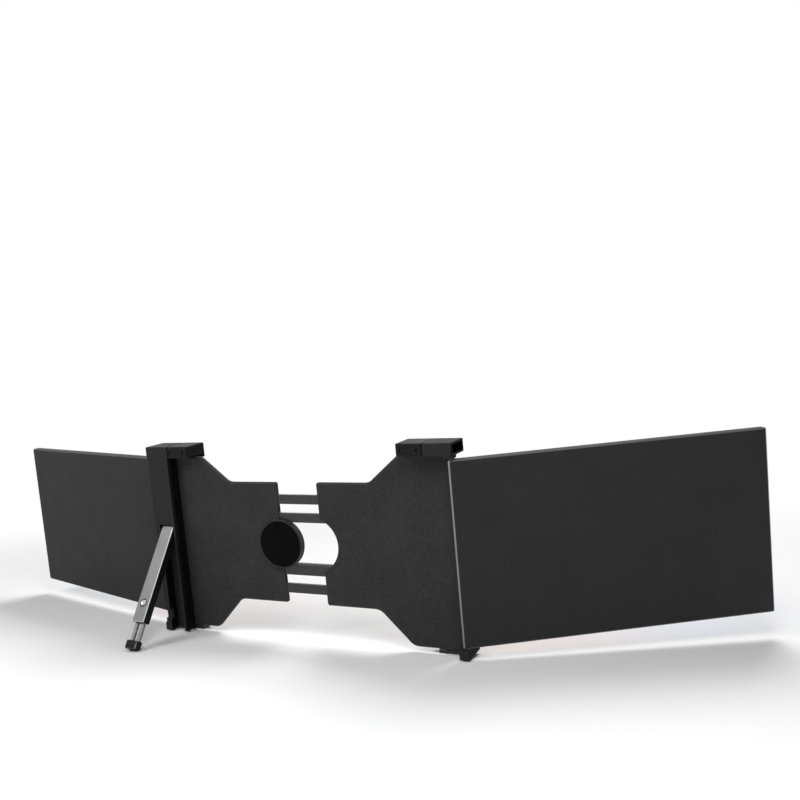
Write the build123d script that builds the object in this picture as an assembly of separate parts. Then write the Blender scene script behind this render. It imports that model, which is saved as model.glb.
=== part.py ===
"""Two-screen extender for a laptop: a sliding back frame that hooks over the laptop's lid,
a hinged screen on each side, a rack and pinion that steadies the slide, and a telescopic
kickstand.  Seen from the front, where the user sits, +X is right, -Y is towards the user
and +Z is up.  The origin is on the back of the laptop's lid, midway between the two half
plates, at the height of the slide."""
from math import atan, cos, pi, radians, sin, tan
import os

from build123d import *

# ---------------------------------------------------------------- driving dimensions (mm)
# slide and half plates
GAP_HALF = 25.0            # from the middle to the inner edge of each half plate, at rest
STRIP_HALF_HEIGHT = 67.0   # half height of the narrow middle strip of a plate
STRIP_END_X = 88.0         # where the strip starts to widen
LOBE_START_X = 124.0       # where the plate has its full height
PLATE_OUTER_X = 179.0
PLATE_TOP_MARGIN = 1.0     # plate's top edge below the underside of the top arms
PLATE_BOTTOM_MARGIN = 6.0  # plate's bottom edge below the top of the base arms
PAD_THICKNESS = 0.5        # silicone pads that touch the back of the lid
FRONT_COVER = 1.0
REAR_COVER = 4.0
REAR_WALL = 1.0
STRIP_FILLET = 14.0
LOBE_FILLET = 12.0
PLATE_CORNER = 2.5
PLATE_BEVEL = 1.4
COVER_INSET = 0.8
BAY_END_X = 150.0          # how far the bay for the rails reaches into a plate
BAY_RIM = 2.0

# laptop lid slot and the frame around it
SLOT_DEPTH = 7.5           # thickest lid that fits
LIP_THICKNESS = 3.0
COLUMN_INNER_X = 158.0     # half of the widest lid at rest
WEB_OUTER_X = 179.8
ARM_END_X = 190.0
CLIP_INNER_X = 130.0
ARM_THICKNESS = 13.0
ARM_HEADROOM = 4.0         # from a screen's top edge to the underside of the top arm
BASE_THICKNESS = 9.0
BASE_ROOM = 2.0            # from a screen's bottom edge to the base arm
FRAME_REAR_Y = 19.5
LIP_DROP = 3.4             # how far the top lip hangs over the lid's bezel
FRAME_BEVEL = 0.8
COLUMN_BEVEL = 2.0
WEB_FILLET = 5.0
HINGE_BOSS_DROP = 2.6      # boss under the top arm, round the hinge pin
HINGE_BOSS_MARGIN = 1.5    # from the plate's outer edge to the boss

# rails, rack and pinion
RAIL_THICKNESS = 2.4
RAIL_PLAY = 0.3
UPPER_RAIL_BOTTOM = 23.0
UPPER_RAIL_TOP = 53.5
LOWER_RAIL_BOTTOM = -55.8
RAIL_SLOT_HEIGHT = 9.8
RAIL_BAR = 10.6            # height of the bar beside each slot
RAIL_FIXED_X = -112.0      # end of the rails in the left plate
RAIL_FREE_X = 112.0        # end of the rails in the right plate
RAIL_SLOT_END_X = 96.0
RAIL_SLOT_START_X = -80.0
POST_X = (36.0, 66.0)      # guide posts in the right plate
POST_PLAY = 0.3
RAIL_SCREW_X = (-103.0, -88.0)
GEAR_MODULE = 1.0
GEAR_TEETH = 44
GEAR_THICKNESS = 2.2
GEAR_BACKLASH = 0.16
PRESSURE_ANGLE = 20.0
HUB_X = 25.5
HUB_Z = -0.6
HUB_RADIUS = 27.0
HUB_BOSS_Y = 7.2
HUB_RING_WIDTH = 1.6
HUB_RING_HEIGHT = 1.5
HUB_CAP_HEIGHT = 1.1
AXLE_RADIUS = 3.0
RECESS_RADIUS = 29.3
RECESS_X = -16.3
RACK_START_X = -47.0
RACK_END_X = 63.0

# screens
SCREEN_TOP = 93.0
SCREEN_THICKNESS = 9.5
SCREEN_CORNER = 2.0
ACTIVE_WIDTH = 293.8
ACTIVE_HEIGHT = 165.2
BEZEL_SIDE = 12.1          # from the active area to the screen's side edge
BEZEL_TOP = 9.0
BEZEL_CHIN = 13.8
BEZEL_THICKNESS = 2.2
BEZEL_LIP = 0.9
BEZEL_BEVEL = 0.7
PANEL_THICKNESS = 3.0
PANEL_OVERLAP = 3.0        # hidden edge of the panel behind the bezel
SCREEN_WALL = 1.6
SCREEN_BACK_BEVEL = 1.5
BOSS_INSET = 34.0
BOSS_RADIUS = 3.0
BOARD_THICKNESS = 1.2
BOARD_STANDOFF = 1.4
BOARD_WIDTH = 57.4
BOARD_LENGTH = 90.0
BOARD_DROP = 40.0          # board's top edge below the screen's top
BOARD_FROM_WALL = 1.0
BOARD_POST_RADIUS = 2.0
BOARD_POST_INSET = 4.0
BOARD_POST_SHIFT = 8.0     # the outer posts stand clear of the sockets
CHIP_HEIGHT = 1.0
CHIP_SIZE = 12.0
CHIP_RISE = 30.0
CONNECTOR_SIZE = (4.0, 30.0)
CONNECTOR_RISE = 52.0
CHIP_INSET = 8.0
PIVOT_X = 186.5
PIVOT_FROM_EDGE = 4.0
LEFT_PIVOT_Y = 14.0
RIGHT_PIVOT_Y = -5.25
LEFT_REST_ANGLE = 31.0     # forward from flat
RIGHT_REST_ANGLE = 15.0
PIN_RADIUS = 1.5
PIN_IN_ARM = 8.0
PIN_IN_SCREEN = 22.0
COLLAR_RADIUS = 3.2
BARREL_RADIUS = 2.3
BARREL_LENGTH = 16.0
BARREL_INSET = 5.0         # from a screen's top or bottom edge to the barrel
LEAF_LENGTH = 26.0
LEAF_THICKNESS = 1.1

# ports and buttons on a screen's outer edge, as distances below the screen's top
POWER_BUTTON_DROP = 23.0
JACK_DROP = 46.5
HDMI_DROP = 62.0
USB_DROP = 105.0
MENU_BUTTON_DROP = 141.5
PORT_DEPTH = 7.5
PORT_WALL = 0.35
HDMI_SIZE = (11.2, 3.2)
USB_SIZE = (8.9, 3.2)
JACK_RADIUS = 2.6
JACK_BORE = 1.8
PORT_FROM_FACE = 5.0       # depth of the port line behind the screen's face
BUTTON_SIZE = (8.0, 2.2)
BUTTON_PROUD = 0.9
BUTTON_FLANGE = 0.8
BUTTON_FLANGE_RIM = 1.0

# kickstand
STAND_X = 172.0
STAND_WIDTH = 16.0
STAND_THICKNESS = 10.5
STAND_PIVOT_Y = 13.2
STAND_PIVOT_Z = 14.0
STAND_LENGTH = 110.0       # pivot to the end of the bar
STAND_REST_ANGLE = 36.0
STAND_PIN_RADIUS = 2.0
STAND_FACE = 1.2
CHANNEL_PLAY = 0.5
CHANNEL_SIDE_PLAY = 1.5
ROD_RADIUS = 2.3
ROD_SPACING = 8.6
ROD_VISIBLE = 20.0
ROD_INSIDE = 46.0
ROD_TRAVEL_IN = 19.0
ROD_DROP = 1.2             # rods lie this far in front of the bar's middle
FOOT_WIDTH = 15.0
FOOT_HEIGHT = 9.0
FOOT_DEPTH = 10.0
ROD_IN_FOOT = 6.0
RELEASE_FROM_END = 21.0
RELEASE_RADIUS = 3.4
RELEASE_FLANGE = 4.3
RELEASE_RING = 4.6
NOTCH_LENGTH = 11.0
NOTCH_RISE = 13.0          # finger notch above the column's bottom

# hooks, pads and fasteners
FINGER_REACH = 11.0
FINGER_HEIGHT = 4.8
FINGER_DROP = 4.0          # middle of the finger below the top of the base arm
FINGER_ROOT = 9.0
HOOK_SCREW_RADIUS = 1.1
CLIP_PAD_SIZE = (20.0, 11.0)
CLIP_PAD_DEPTH = 1.1
CLIP_PAD_PROUD = 0.3
CLIP_SCREW_X = (135.7, 153.7)
CLIP_SCREW_Z = 103.0
TONGUE_REAR_Y = 16.0
TONGUE_FRONT_Y = -5.0
TONGUE_MARGIN = 2.6
SCREW_RADIUS = 1.1
SCREW_HEAD = 2.1
SCREW_HEAD_HEIGHT = 0.8
CLIP_SCREW_SUNK = 1.2
END_CAP_DEPTH = 1.0
END_CAP_MARGIN = 2.0
LID_PAD_SIZE = (48.0, 13.0)
LID_PAD_X = 118.0
LID_PAD_Z = 48.0

WEB_PEG_RADIUS = 3.0
WEB_PEG_HEIGHT = 70.0
COLUMN_SCREW_MARGIN = 26.0
COLUMN_SCREW_DEPTH = 6.0
CHANNEL_SCREW_RISE = 14.0  # screw at the channel's foot, above the column's bottom
CHANNEL_SCREW_HEAD = 0.4
STAND_PIN_SEAT = 3.5
NOTCH_DEPTH = 5.0
HOOK_FOOT_HEIGHT = 3.0
CLIP_PAD_RIM = 1.8
RELEASE_FLOOR = 0.3
RELEASE_RIM = 0.8
RELEASE_PROUD = 0.6
RELEASE_RING_PROUD = 0.3

# clearances
SEAT = 0.02                # between pieces of one body that seat in each other
RUN = 0.05                 # radial running clearance of a shaft in its bore
FREE = 0.3                 # between pieces that move past each other
OPEN = 0.35                # holes that a pin or button passes through

# ---------------------------------------------------------------- places that follow
COVER_FRONT_Y = PAD_THICKNESS
BAY_FRONT_Y = COVER_FRONT_Y + FRONT_COVER
PLATE_REAR_Y = BAY_FRONT_Y + REAR_COVER
BAY_REAR_Y = PLATE_REAR_Y - REAR_WALL
LIP_REAR_Y = -SLOT_DEPTH
FRAME_FRONT_Y = LIP_REAR_Y - LIP_THICKNESS
RAIL_FRONT_Y = BAY_FRONT_Y + RAIL_PLAY
RAIL_REAR_Y = RAIL_FRONT_Y + RAIL_THICKNESS
PITCH_RADIUS = GEAR_MODULE * GEAR_TEETH / 2
RACK_PITCH_Z = HUB_Z - PITCH_RADIUS
RACK_TIP_Z = RACK_PITCH_Z + GEAR_MODULE
STAND_END_RADIUS = STAND_THICKNESS / 2
CHANNEL_FLOOR_Y = STAND_PIVOT_Y - STAND_END_RADIUS - CHANNEL_PLAY
CHANNEL_HALF = STAND_WIDTH / 2 + CHANNEL_SIDE_PLAY
CHANNEL_TOP_Z = STAND_PIVOT_Z + STAND_END_RADIUS + CHANNEL_PLAY
SCREEN_WIDTH = ACTIVE_WIDTH + 2 * BEZEL_SIDE
SCREEN_HEIGHT = BEZEL_TOP + ACTIVE_HEIGHT + BEZEL_CHIN
SCREEN_BOTTOM = SCREEN_TOP - SCREEN_HEIGHT
ARM_UNDERSIDE = SCREEN_TOP + ARM_HEADROOM
ARM_TOP = ARM_UNDERSIDE + ARM_THICKNESS
BOSS_UNDERSIDE = ARM_UNDERSIDE - HINGE_BOSS_DROP
BASE_TOP = SCREEN_BOTTOM - BASE_ROOM
BASE_BOTTOM = BASE_TOP - BASE_THICKNESS
PLATE_TOP = ARM_UNDERSIDE - PLATE_TOP_MARGIN
PLATE_BOTTOM = BASE_TOP - PLATE_BOTTOM_MARGIN
HOOK_BOTTOM = BASE_BOTTOM - HOOK_FOOT_HEIGHT
FINGER_Z = BASE_TOP - FINGER_DROP
NOTCH_BOTTOM = BASE_BOTTOM + NOTCH_RISE
CHANNEL_SCREW_Z = BASE_BOTTOM + CHANNEL_SCREW_RISE


def block(x, y, z):
    """A box from its two limits along each axis."""
    size = [max(pair) - min(pair) for pair in (x, y, z)]
    centre = [sum(pair) / 2 for pair in (x, y, z)]
    return Pos(*centre) * Box(*size)


def slab(sketch, y_front, y_rear):
    """A sketch drawn with X across and Z up, thickened from y_front to y_rear."""
    return extrude(Plane.XZ.offset(-y_rear) * sketch, y_rear - y_front)


def rod_y(x, z, radius, y_front, y_rear):
    return slab(Pos(x, z) * Circle(radius), y_front, y_rear)


def rod_z(x, y, radius, z_low, z_high):
    return Pos(x, y, z_low) * extrude(Circle(radius), z_high - z_low)


def rod_x(y, z, radius, x_low, x_high):
    return extrude(Plane.YZ.offset(x_low) * (Pos(y, z) * Circle(radius)), x_high - x_low)


def on_side(shape, side):
    """Shapes are drawn for the right side; the left one is its mirror image."""
    return shape if side > 0 else mirror(shape, about=Plane.YZ)


def screw(x, z, head_y, direction, head, shank, length, head_height):
    """A cap screw along Y whose head starts at head_y and whose shank goes along direction."""
    neck_y = head_y + direction * head_height
    tip_y = neck_y + direction * length
    body = rod_y(x, z, head, min(head_y, neck_y), max(head_y, neck_y))
    body += rod_y(x, z, shank, min(neck_y, tip_y), max(neck_y, tip_y))
    socket = rod_y(x, z, head / 2, min(head_y, head_y + direction * head_height / 2),
                   max(head_y, head_y + direction * head_height / 2))
    return body - socket


# ---------------------------------------------------------------- half plates
def plate_sketch(inset=0.0):
    """Half of the H-shaped back: a narrow strip that widens towards the screen."""
    corners = [
        (GAP_HALF, STRIP_HALF_HEIGHT), (STRIP_END_X, STRIP_HALF_HEIGHT),
        (LOBE_START_X, PLATE_TOP), (PLATE_OUTER_X, PLATE_TOP),
        (PLATE_OUTER_X, PLATE_BOTTOM), (LOBE_START_X, PLATE_BOTTOM),
        (STRIP_END_X, -STRIP_HALF_HEIGHT), (GAP_HALF, -STRIP_HALF_HEIGHT),
    ]
    sketch = make_face(Polyline(*corners, close=True))
    bends = sketch.vertices().filter_by(lambda v: abs(v.X - STRIP_END_X) < 1)
    sketch = fillet(bends, STRIP_FILLET)
    bends = sketch.vertices().filter_by(lambda v: abs(v.X - LOBE_START_X) < 1)
    sketch = fillet(bends, LOBE_FILLET)
    ends = sketch.vertices().filter_by(lambda v: v.X < GAP_HALF + 1)
    sketch = fillet(ends, PLATE_CORNER)
    return offset(sketch, amount=-inset, kind=Kind.INTERSECTION) if inset else sketch


def hub_cut(inset=0.0):
    """The round recess in the left plate that makes room for the hub."""
    return Pos(RECESS_X, HUB_Z) * Circle(RECESS_RADIUS + inset)


def rail_windows():
    """Openings in the inner edge of a plate that the two rails pass through."""
    reach = HUB_X + HUB_RADIUS + 1
    top = block((-5, reach), (BAY_FRONT_Y, BAY_REAR_Y),
                (UPPER_RAIL_BOTTOM - FREE, UPPER_RAIL_TOP + FREE))
    low = block((-5, reach), (BAY_FRONT_Y, BAY_REAR_Y),
                (LOWER_RAIL_BOTTOM - FREE, RACK_TIP_Z + FREE))
    return top + low


def rail_bay():
    """The closed bay between the two covers of a plate where the rails run."""
    low = LOWER_RAIL_BOTTOM - BAY_RIM
    high = UPPER_RAIL_TOP + BAY_RIM
    return block((GAP_HALF + BAY_RIM, BAY_END_X), (BAY_FRONT_Y, BAY_REAR_Y), (low, high))


def rear_cover(side):
    outline = plate_sketch()
    body = slab(outline, BAY_FRONT_Y, PLATE_REAR_Y)
    rim = body.faces().sort_by(Axis.Y)[-1].edges()
    body = chamfer(rim, PLATE_BEVEL)
    body -= rail_bay()
    body -= rail_windows()
    body = on_side(body, side)
    if side > 0:
        boss = rod_y(HUB_X, HUB_Z, HUB_RADIUS, BAY_FRONT_Y, HUB_BOSS_Y)
        well = rod_y(HUB_X, HUB_Z, PITCH_RADIUS + GEAR_MODULE + 2 * FREE, BAY_FRONT_Y, BAY_REAR_Y)
        body = body + boss - well - rail_windows()
        body -= rod_y(HUB_X, HUB_Z, AXLE_RADIUS + SEAT, BAY_REAR_Y, HUB_BOSS_Y - REAR_WALL)
        for x, z in post_places():
            body -= rod_y(x, z, SCREW_RADIUS + SEAT, BAY_REAR_Y, PLATE_REAR_Y - REAR_WALL / 3)
        for z in column_screw_heights():
            body -= rod_y(column_screw_x(), z, SCREW_RADIUS + SEAT, BAY_FRONT_Y, PLATE_REAR_Y)
    else:
        body -= slab(hub_cut(), BAY_FRONT_Y, PLATE_REAR_Y)
        for x, z in rail_screw_places():
            body += rod_y(x, z, 2 * SCREW_HEAD, RAIL_REAR_Y, BAY_REAR_Y)
            body -= rod_y(x, z, SCREW_RADIUS + SEAT, RAIL_REAR_Y, PLATE_REAR_Y - REAR_WALL / 3)
        for z in web_peg_heights():
            body -= rod_y(-web_peg_x(), z, WEB_PEG_RADIUS + SEAT, BAY_FRONT_Y, BAY_REAR_Y)
    for x, z in plate_screw_places():
        body -= rod_y(side * x, z, SCREW_RADIUS + SEAT, BAY_FRONT_Y, BAY_REAR_Y)
    return body


def front_cover(side):
    body = on_side(slab(plate_sketch(COVER_INSET), COVER_FRONT_Y, BAY_FRONT_Y), side)
    if side > 0:
        body += rod_y(HUB_X, HUB_Z, HUB_RADIUS - COVER_INSET, COVER_FRONT_Y, BAY_FRONT_Y)
        body -= rod_y(HUB_X, HUB_Z, AXLE_RADIUS + SEAT, COVER_FRONT_Y, BAY_FRONT_Y)
        for x, z in post_places():
            body -= screw_seat(x, z)
        for z in column_screw_heights():
            body -= screw_seat(column_screw_x(), z)
    else:
        body -= slab(hub_cut(COVER_INSET), COVER_FRONT_Y, BAY_FRONT_Y)
        for z in web_peg_heights():
            body -= rod_y(-web_peg_x(), z, WEB_PEG_RADIUS + SEAT, COVER_FRONT_Y, BAY_FRONT_Y)
    for x, z in plate_screw_places():
        body -= screw_seat(side * x, z)
    return body


def screw_seat(x, z):
    """Counterbore and hole through the front cover for a flush screw."""
    head = rod_y(x, z, SCREW_HEAD + SEAT, COVER_FRONT_Y, COVER_FRONT_Y + SCREW_HEAD_HEIGHT)
    return head + rod_y(x, z, SCREW_RADIUS + SEAT, COVER_FRONT_Y, BAY_FRONT_Y)


def plate_screw_places():
    """Screws in the solid rim of a plate, above and below the rail bay."""
    z = UPPER_RAIL_TOP + BAY_RIM + 2.5 * SCREW_HEAD
    return [(GAP_HALF + 9, z), (GAP_HALF + 9, -z), (LOBE_START_X + 14, z + 22),
            (LOBE_START_X + 14, -z - 22)]


def post_places():
    upper = (UPPER_RAIL_BOTTOM + UPPER_RAIL_TOP) / 2
    lower = LOWER_RAIL_BOTTOM + RAIL_BAR + RAIL_SLOT_HEIGHT / 2
    return [(x, z) for x in POST_X for z in (upper, lower)]


def rail_screw_places():
    upper = (UPPER_RAIL_BOTTOM + UPPER_RAIL_TOP) / 2
    lower = (LOWER_RAIL_BOTTOM + RACK_TIP_Z) / 2
    return [(x, z) for x in RAIL_SCREW_X for z in (upper - 8, upper + 8, lower - 8, lower + 8)]


def plate_screws(side):
    places = [(side * x, z) for x, z in plate_screw_places()]
    depth = BAY_REAR_Y - COVER_FRONT_Y - SCREW_HEAD_HEIGHT - SEAT
    if side > 0:
        places += post_places()
    return Compound([screw(x, z, COVER_FRONT_Y, 1, SCREW_HEAD, SCREW_RADIUS, depth,
                           SCREW_HEAD_HEIGHT) for x, z in places])


def lid_pads(side):
    """Two soft strips on the front cover that rest on the back of the lid."""
    strip = RectangleRounded(*LID_PAD_SIZE, LID_PAD_SIZE[1] / 2 - SEAT)
    shapes = [slab(Pos(side * LID_PAD_X, z) * strip, 0, COVER_FRONT_Y)
              for z in (LID_PAD_Z, -LID_PAD_Z)]
    return Compound(shapes)


# ---------------------------------------------------------------- rails, rack and pinion
def rail_guide_posts():
    """Round posts between the two covers that run in the slots of the rails."""
    radius = RAIL_SLOT_HEIGHT / 2 - POST_PLAY
    return Compound([
        rod_y(x, z, radius, BAY_FRONT_Y, BAY_REAR_Y)
        - rod_y(x, z, SCREW_RADIUS + SEAT, BAY_FRONT_Y, BAY_REAR_Y)
        for x, z in post_places()])


def rail_outline(low, high, slot_low):
    length = RAIL_FREE_X - RAIL_FIXED_X
    middle_x = (RAIL_FREE_X + RAIL_FIXED_X) / 2
    outline = Pos(middle_x, (low + high) / 2) * RectangleRounded(length, high - low, 2)
    slot_length = RAIL_SLOT_END_X - RAIL_SLOT_START_X
    slot_x = (RAIL_SLOT_END_X + RAIL_SLOT_START_X) / 2
    slot = Pos(slot_x, slot_low + RAIL_SLOT_HEIGHT / 2) * SlotOverall(
        slot_length, RAIL_SLOT_HEIGHT)
    return outline - slot


def rail_screw_cuts(rail):
    for x, z in rail_screw_places():
        rail -= rod_y(x, z, SCREW_RADIUS + SEAT, RAIL_FRONT_Y, RAIL_REAR_Y)
        rail -= rod_y(x, z, SCREW_HEAD + SEAT, RAIL_FRONT_Y, RAIL_FRONT_Y + SCREW_HEAD_HEIGHT)
    return rail


def upper_rail():
    slot_low = UPPER_RAIL_BOTTOM + (UPPER_RAIL_TOP - UPPER_RAIL_BOTTOM - RAIL_SLOT_HEIGHT) / 2
    sketch = rail_outline(UPPER_RAIL_BOTTOM, UPPER_RAIL_TOP, slot_low)
    return rail_screw_cuts(slab(sketch, RAIL_FRONT_Y, RAIL_REAR_Y))


def rack_teeth():
    """Straight-sided teeth above the root line, with a gap over the pinion's axis."""
    pitch = pi * GEAR_MODULE
    flank = tan(radians(PRESSURE_ANGLE))
    half = pitch / 4 - GEAR_BACKLASH / 2
    root_z = RACK_PITCH_Z - 1.25 * GEAR_MODULE
    teeth = []
    count = int((RACK_END_X - RACK_START_X) / pitch)
    first = HUB_X - pitch * (int((HUB_X - RACK_START_X) / pitch) - 0.5)
    for index in range(count):
        x = first + index * pitch
        wide = half + 1.25 * GEAR_MODULE * flank
        narrow = half - GEAR_MODULE * flank
        tooth = Polyline((x - wide, root_z), (x - narrow, RACK_TIP_Z), (x + narrow, RACK_TIP_Z),
                         (x + wide, root_z), close=True)
        teeth.append(make_face(tooth))
    return teeth, root_z


def rack_rail():
    """The lower rail: its upper edge is cut as a rack where the pinion runs."""
    teeth, root_z = rack_teeth()
    low = LOWER_RAIL_BOTTOM
    sketch = rail_outline(low, RACK_TIP_Z, low + RAIL_BAR)
    start = teeth[0].bounding_box().min.X
    end = teeth[-1].bounding_box().max.X
    cut = Pos((start + end) / 2, (root_z + RACK_TIP_Z + 1) / 2) * Rectangle(
        end - start, RACK_TIP_Z + 1 - root_z)
    sketch = sketch - cut
    sketch = sketch + teeth
    return rail_screw_cuts(slab(sketch, RAIL_FRONT_Y, RAIL_REAR_Y))


def rail_screws():
    depth = PLATE_REAR_Y - REAR_WALL / 3 - RAIL_FRONT_Y - SCREW_HEAD_HEIGHT - SEAT
    return Compound([screw(x, z, RAIL_FRONT_Y, 1, SCREW_HEAD, SCREW_RADIUS, depth,
                           SCREW_HEAD_HEIGHT) for x, z in rail_screw_places()])


def involute_angle(base, radius):
    """How far round an involute from the base circle has turned when it reaches a radius."""
    roll = max(0.0, (radius / base) ** 2 - 1) ** 0.5
    return roll - atan(roll)


def pinion():
    """A flat spur gear with involute flanks; one tooth points straight down at rest."""
    base = PITCH_RADIUS * cos(radians(PRESSURE_ANGLE))
    tip = PITCH_RADIUS + GEAR_MODULE - 0.1
    root = PITCH_RADIUS - 1.25 * GEAR_MODULE
    at_pitch = involute_angle(base, PITCH_RADIUS)
    half_tooth = pi / (2 * GEAR_TEETH) - GEAR_BACKLASH / (2 * PITCH_RADIUS)
    radii = [max(base, root) + (tip - max(base, root)) * step / 3 for step in range(4)]
    points = []
    for tooth in range(GEAR_TEETH):
        middle = -pi / 2 + tooth * 2 * pi / GEAR_TEETH
        flank = [(r, half_tooth + at_pitch - involute_angle(base, r)) for r in radii]
        if radii[0] > root + SEAT:
            flank.insert(0, (root, flank[0][1]))
        for r, a in flank:
            points.append((r * cos(middle - a), r * sin(middle - a)))
        for r, a in reversed(flank):
            points.append((r * cos(middle + a), r * sin(middle + a)))
    wheel = make_face(Polyline(*points, close=True))
    wheel -= Circle(AXLE_RADIUS + RUN)
    middle_y = (RAIL_FRONT_Y + RAIL_REAR_Y) / 2
    place = Pos(HUB_X, HUB_Z) * wheel
    gear = slab(place, middle_y - GEAR_THICKNESS / 2, middle_y + GEAR_THICKNESS / 2)
    for step in range(6):
        angle = radians(60 * step + 30)
        x = HUB_X + 13 * cos(angle)
        gear -= rod_y(x, HUB_Z + 13 * sin(angle), 4.2, BAY_FRONT_Y, BAY_REAR_Y)
    return gear


def pinion_axle():
    """The axle that the pinion turns on, seated in the hub boss and the front cover."""
    return rod_y(HUB_X, HUB_Z, AXLE_RADIUS, COVER_FRONT_Y, HUB_BOSS_Y - REAR_WALL)


def hub_ring():
    ring = Circle(HUB_RADIUS) - Circle(HUB_RADIUS - HUB_RING_WIDTH)
    body = slab(Pos(HUB_X, HUB_Z) * ring, HUB_BOSS_Y, HUB_BOSS_Y + HUB_RING_HEIGHT)
    rim = body.faces().sort_by(Axis.Y)[-1].edges()
    return chamfer(rim, HUB_RING_WIDTH / 4)


def hub_cap():
    radius = HUB_RADIUS - HUB_RING_WIDTH - SEAT
    body = rod_y(HUB_X, HUB_Z, radius, HUB_BOSS_Y, HUB_BOSS_Y + HUB_CAP_HEIGHT)
    rim = body.faces().sort_by(Axis.Y)[-1].edges()
    return chamfer(rim, HUB_RING_WIDTH / 5)


# ---------------------------------------------------------------- frames on the lid's sides
def web_peg_heights():
    return (-WEB_PEG_HEIGHT, 0, WEB_PEG_HEIGHT)


def web_peg_x():
    return (COLUMN_INNER_X + WEB_OUTER_X) / 2


def column_screw_heights():
    return (BASE_BOTTOM + COLUMN_SCREW_MARGIN, STAND_PIVOT_Z + COLUMN_SCREW_MARGIN,
            ARM_UNDERSIDE - COLUMN_SCREW_MARGIN)


def column_screw_x():
    return (COLUMN_INNER_X + STAND_X - CHANNEL_HALF) / 2


def block_rims(shape):
    """The edges of an upright block's top and the two upright ones at its rear."""
    upright = shape.edges().filter_by(Axis.Z).group_by(Axis.Y)[-1]
    return shape.edges().group_by(Axis.Z)[-1] + upright


def top_arm():
    """The arm over the screen's corner, with the tongue that carries the clip."""
    arm = block((COLUMN_INNER_X, ARM_END_X), (FRAME_FRONT_Y, FRAME_REAR_Y),
                (ARM_UNDERSIDE, ARM_TOP))
    arm = chamfer(block_rims(arm), FRAME_BEVEL)
    tongue = block((CLIP_INNER_X + TONGUE_MARGIN, COLUMN_INNER_X),
                   (TONGUE_FRONT_Y, TONGUE_REAR_Y),
                   (ARM_UNDERSIDE + TONGUE_MARGIN, ARM_TOP - TONGUE_MARGIN))
    recess = block((ARM_END_X - END_CAP_DEPTH, ARM_END_X),
                   (FRAME_FRONT_Y + END_CAP_MARGIN, FRAME_REAR_Y - END_CAP_MARGIN),
                   (ARM_UNDERSIDE + END_CAP_MARGIN, ARM_TOP - END_CAP_MARGIN))
    body = arm + tongue - recess
    for x in CLIP_SCREW_X:
        body -= rod_y(x, CLIP_SCREW_Z, SCREW_RADIUS + SEAT, 0, TONGUE_REAR_Y)
    return body


def base_arm():
    """The short arm under the screen's corner."""
    front = block((COLUMN_INNER_X, ARM_END_X), (FRAME_FRONT_Y, COVER_FRONT_Y),
                  (BASE_BOTTOM, BASE_TOP))
    rear = block((WEB_OUTER_X, ARM_END_X), (COVER_FRONT_Y, FRAME_REAR_Y),
                 (BASE_BOTTOM, BASE_TOP))
    return front + rear


def hook_cuts(body):
    """Holes in the base arm for the two screws of the side hook."""
    for x in hook_screw_places():
        body -= rod_z(x, hook_screw_y(), HOOK_SCREW_RADIUS + SEAT, BASE_BOTTOM, BASE_BOTTOM + 6)
    return body


def hook_screw_places():
    return (COLUMN_INNER_X + 5, COLUMN_INNER_X + 14)


def hook_screw_y():
    return (FRAME_FRONT_Y + COVER_FRONT_Y) / 2


def hinge_seats(body, pivot_y):
    """The boss under the top arm, and blind seats for the two hinge pins in the arms."""
    half = SCREEN_THICKNESS / 2
    body += block((PLATE_OUTER_X + HINGE_BOSS_MARGIN, ARM_END_X),
                  (pivot_y - half, pivot_y + half), (BOSS_UNDERSIDE, ARM_UNDERSIDE))
    body -= rod_z(PIVOT_X, pivot_y, PIN_RADIUS + SEAT, BOSS_UNDERSIDE, ARM_UNDERSIDE + PIN_IN_ARM)
    body -= rod_z(PIVOT_X, pivot_y, PIN_RADIUS + SEAT, BASE_TOP - PIN_IN_ARM + 1, BASE_TOP)
    return body


def left_frame_bracket():
    """C-shaped frame in front of the left plate: web, arms and the pegs into the plate."""
    corners = [(COLUMN_INNER_X, ARM_UNDERSIDE + 1), (ARM_END_X, ARM_UNDERSIDE + 1),
               (ARM_END_X, ARM_UNDERSIDE), (WEB_OUTER_X, ARM_UNDERSIDE),
               (WEB_OUTER_X, BASE_TOP), (ARM_END_X, BASE_TOP), (ARM_END_X, BASE_BOTTOM),
               (COLUMN_INNER_X, BASE_BOTTOM)]
    outline = make_face(Polyline(*corners, close=True))
    bends = outline.vertices().filter_by(lambda v: abs(v.X - WEB_OUTER_X) < 1)
    outline = fillet(bends, WEB_FILLET)
    web = slab(outline, FRAME_FRONT_Y, COVER_FRONT_Y)
    front = web.faces().sort_by(Axis.Y)[0].edges().filter_by(
        lambda e: e.center().Z < ARM_UNDERSIDE + 0.5)
    web = chamfer(front, FRAME_BEVEL)
    body = web + top_arm() + base_arm()
    body = hook_cuts(hinge_seats(body, LEFT_PIVOT_Y))
    for z in web_peg_heights():
        body += rod_y(web_peg_x(), z, WEB_PEG_RADIUS, COVER_FRONT_Y, BAY_REAR_Y - SEAT)
    return on_side(body, -1)


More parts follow.
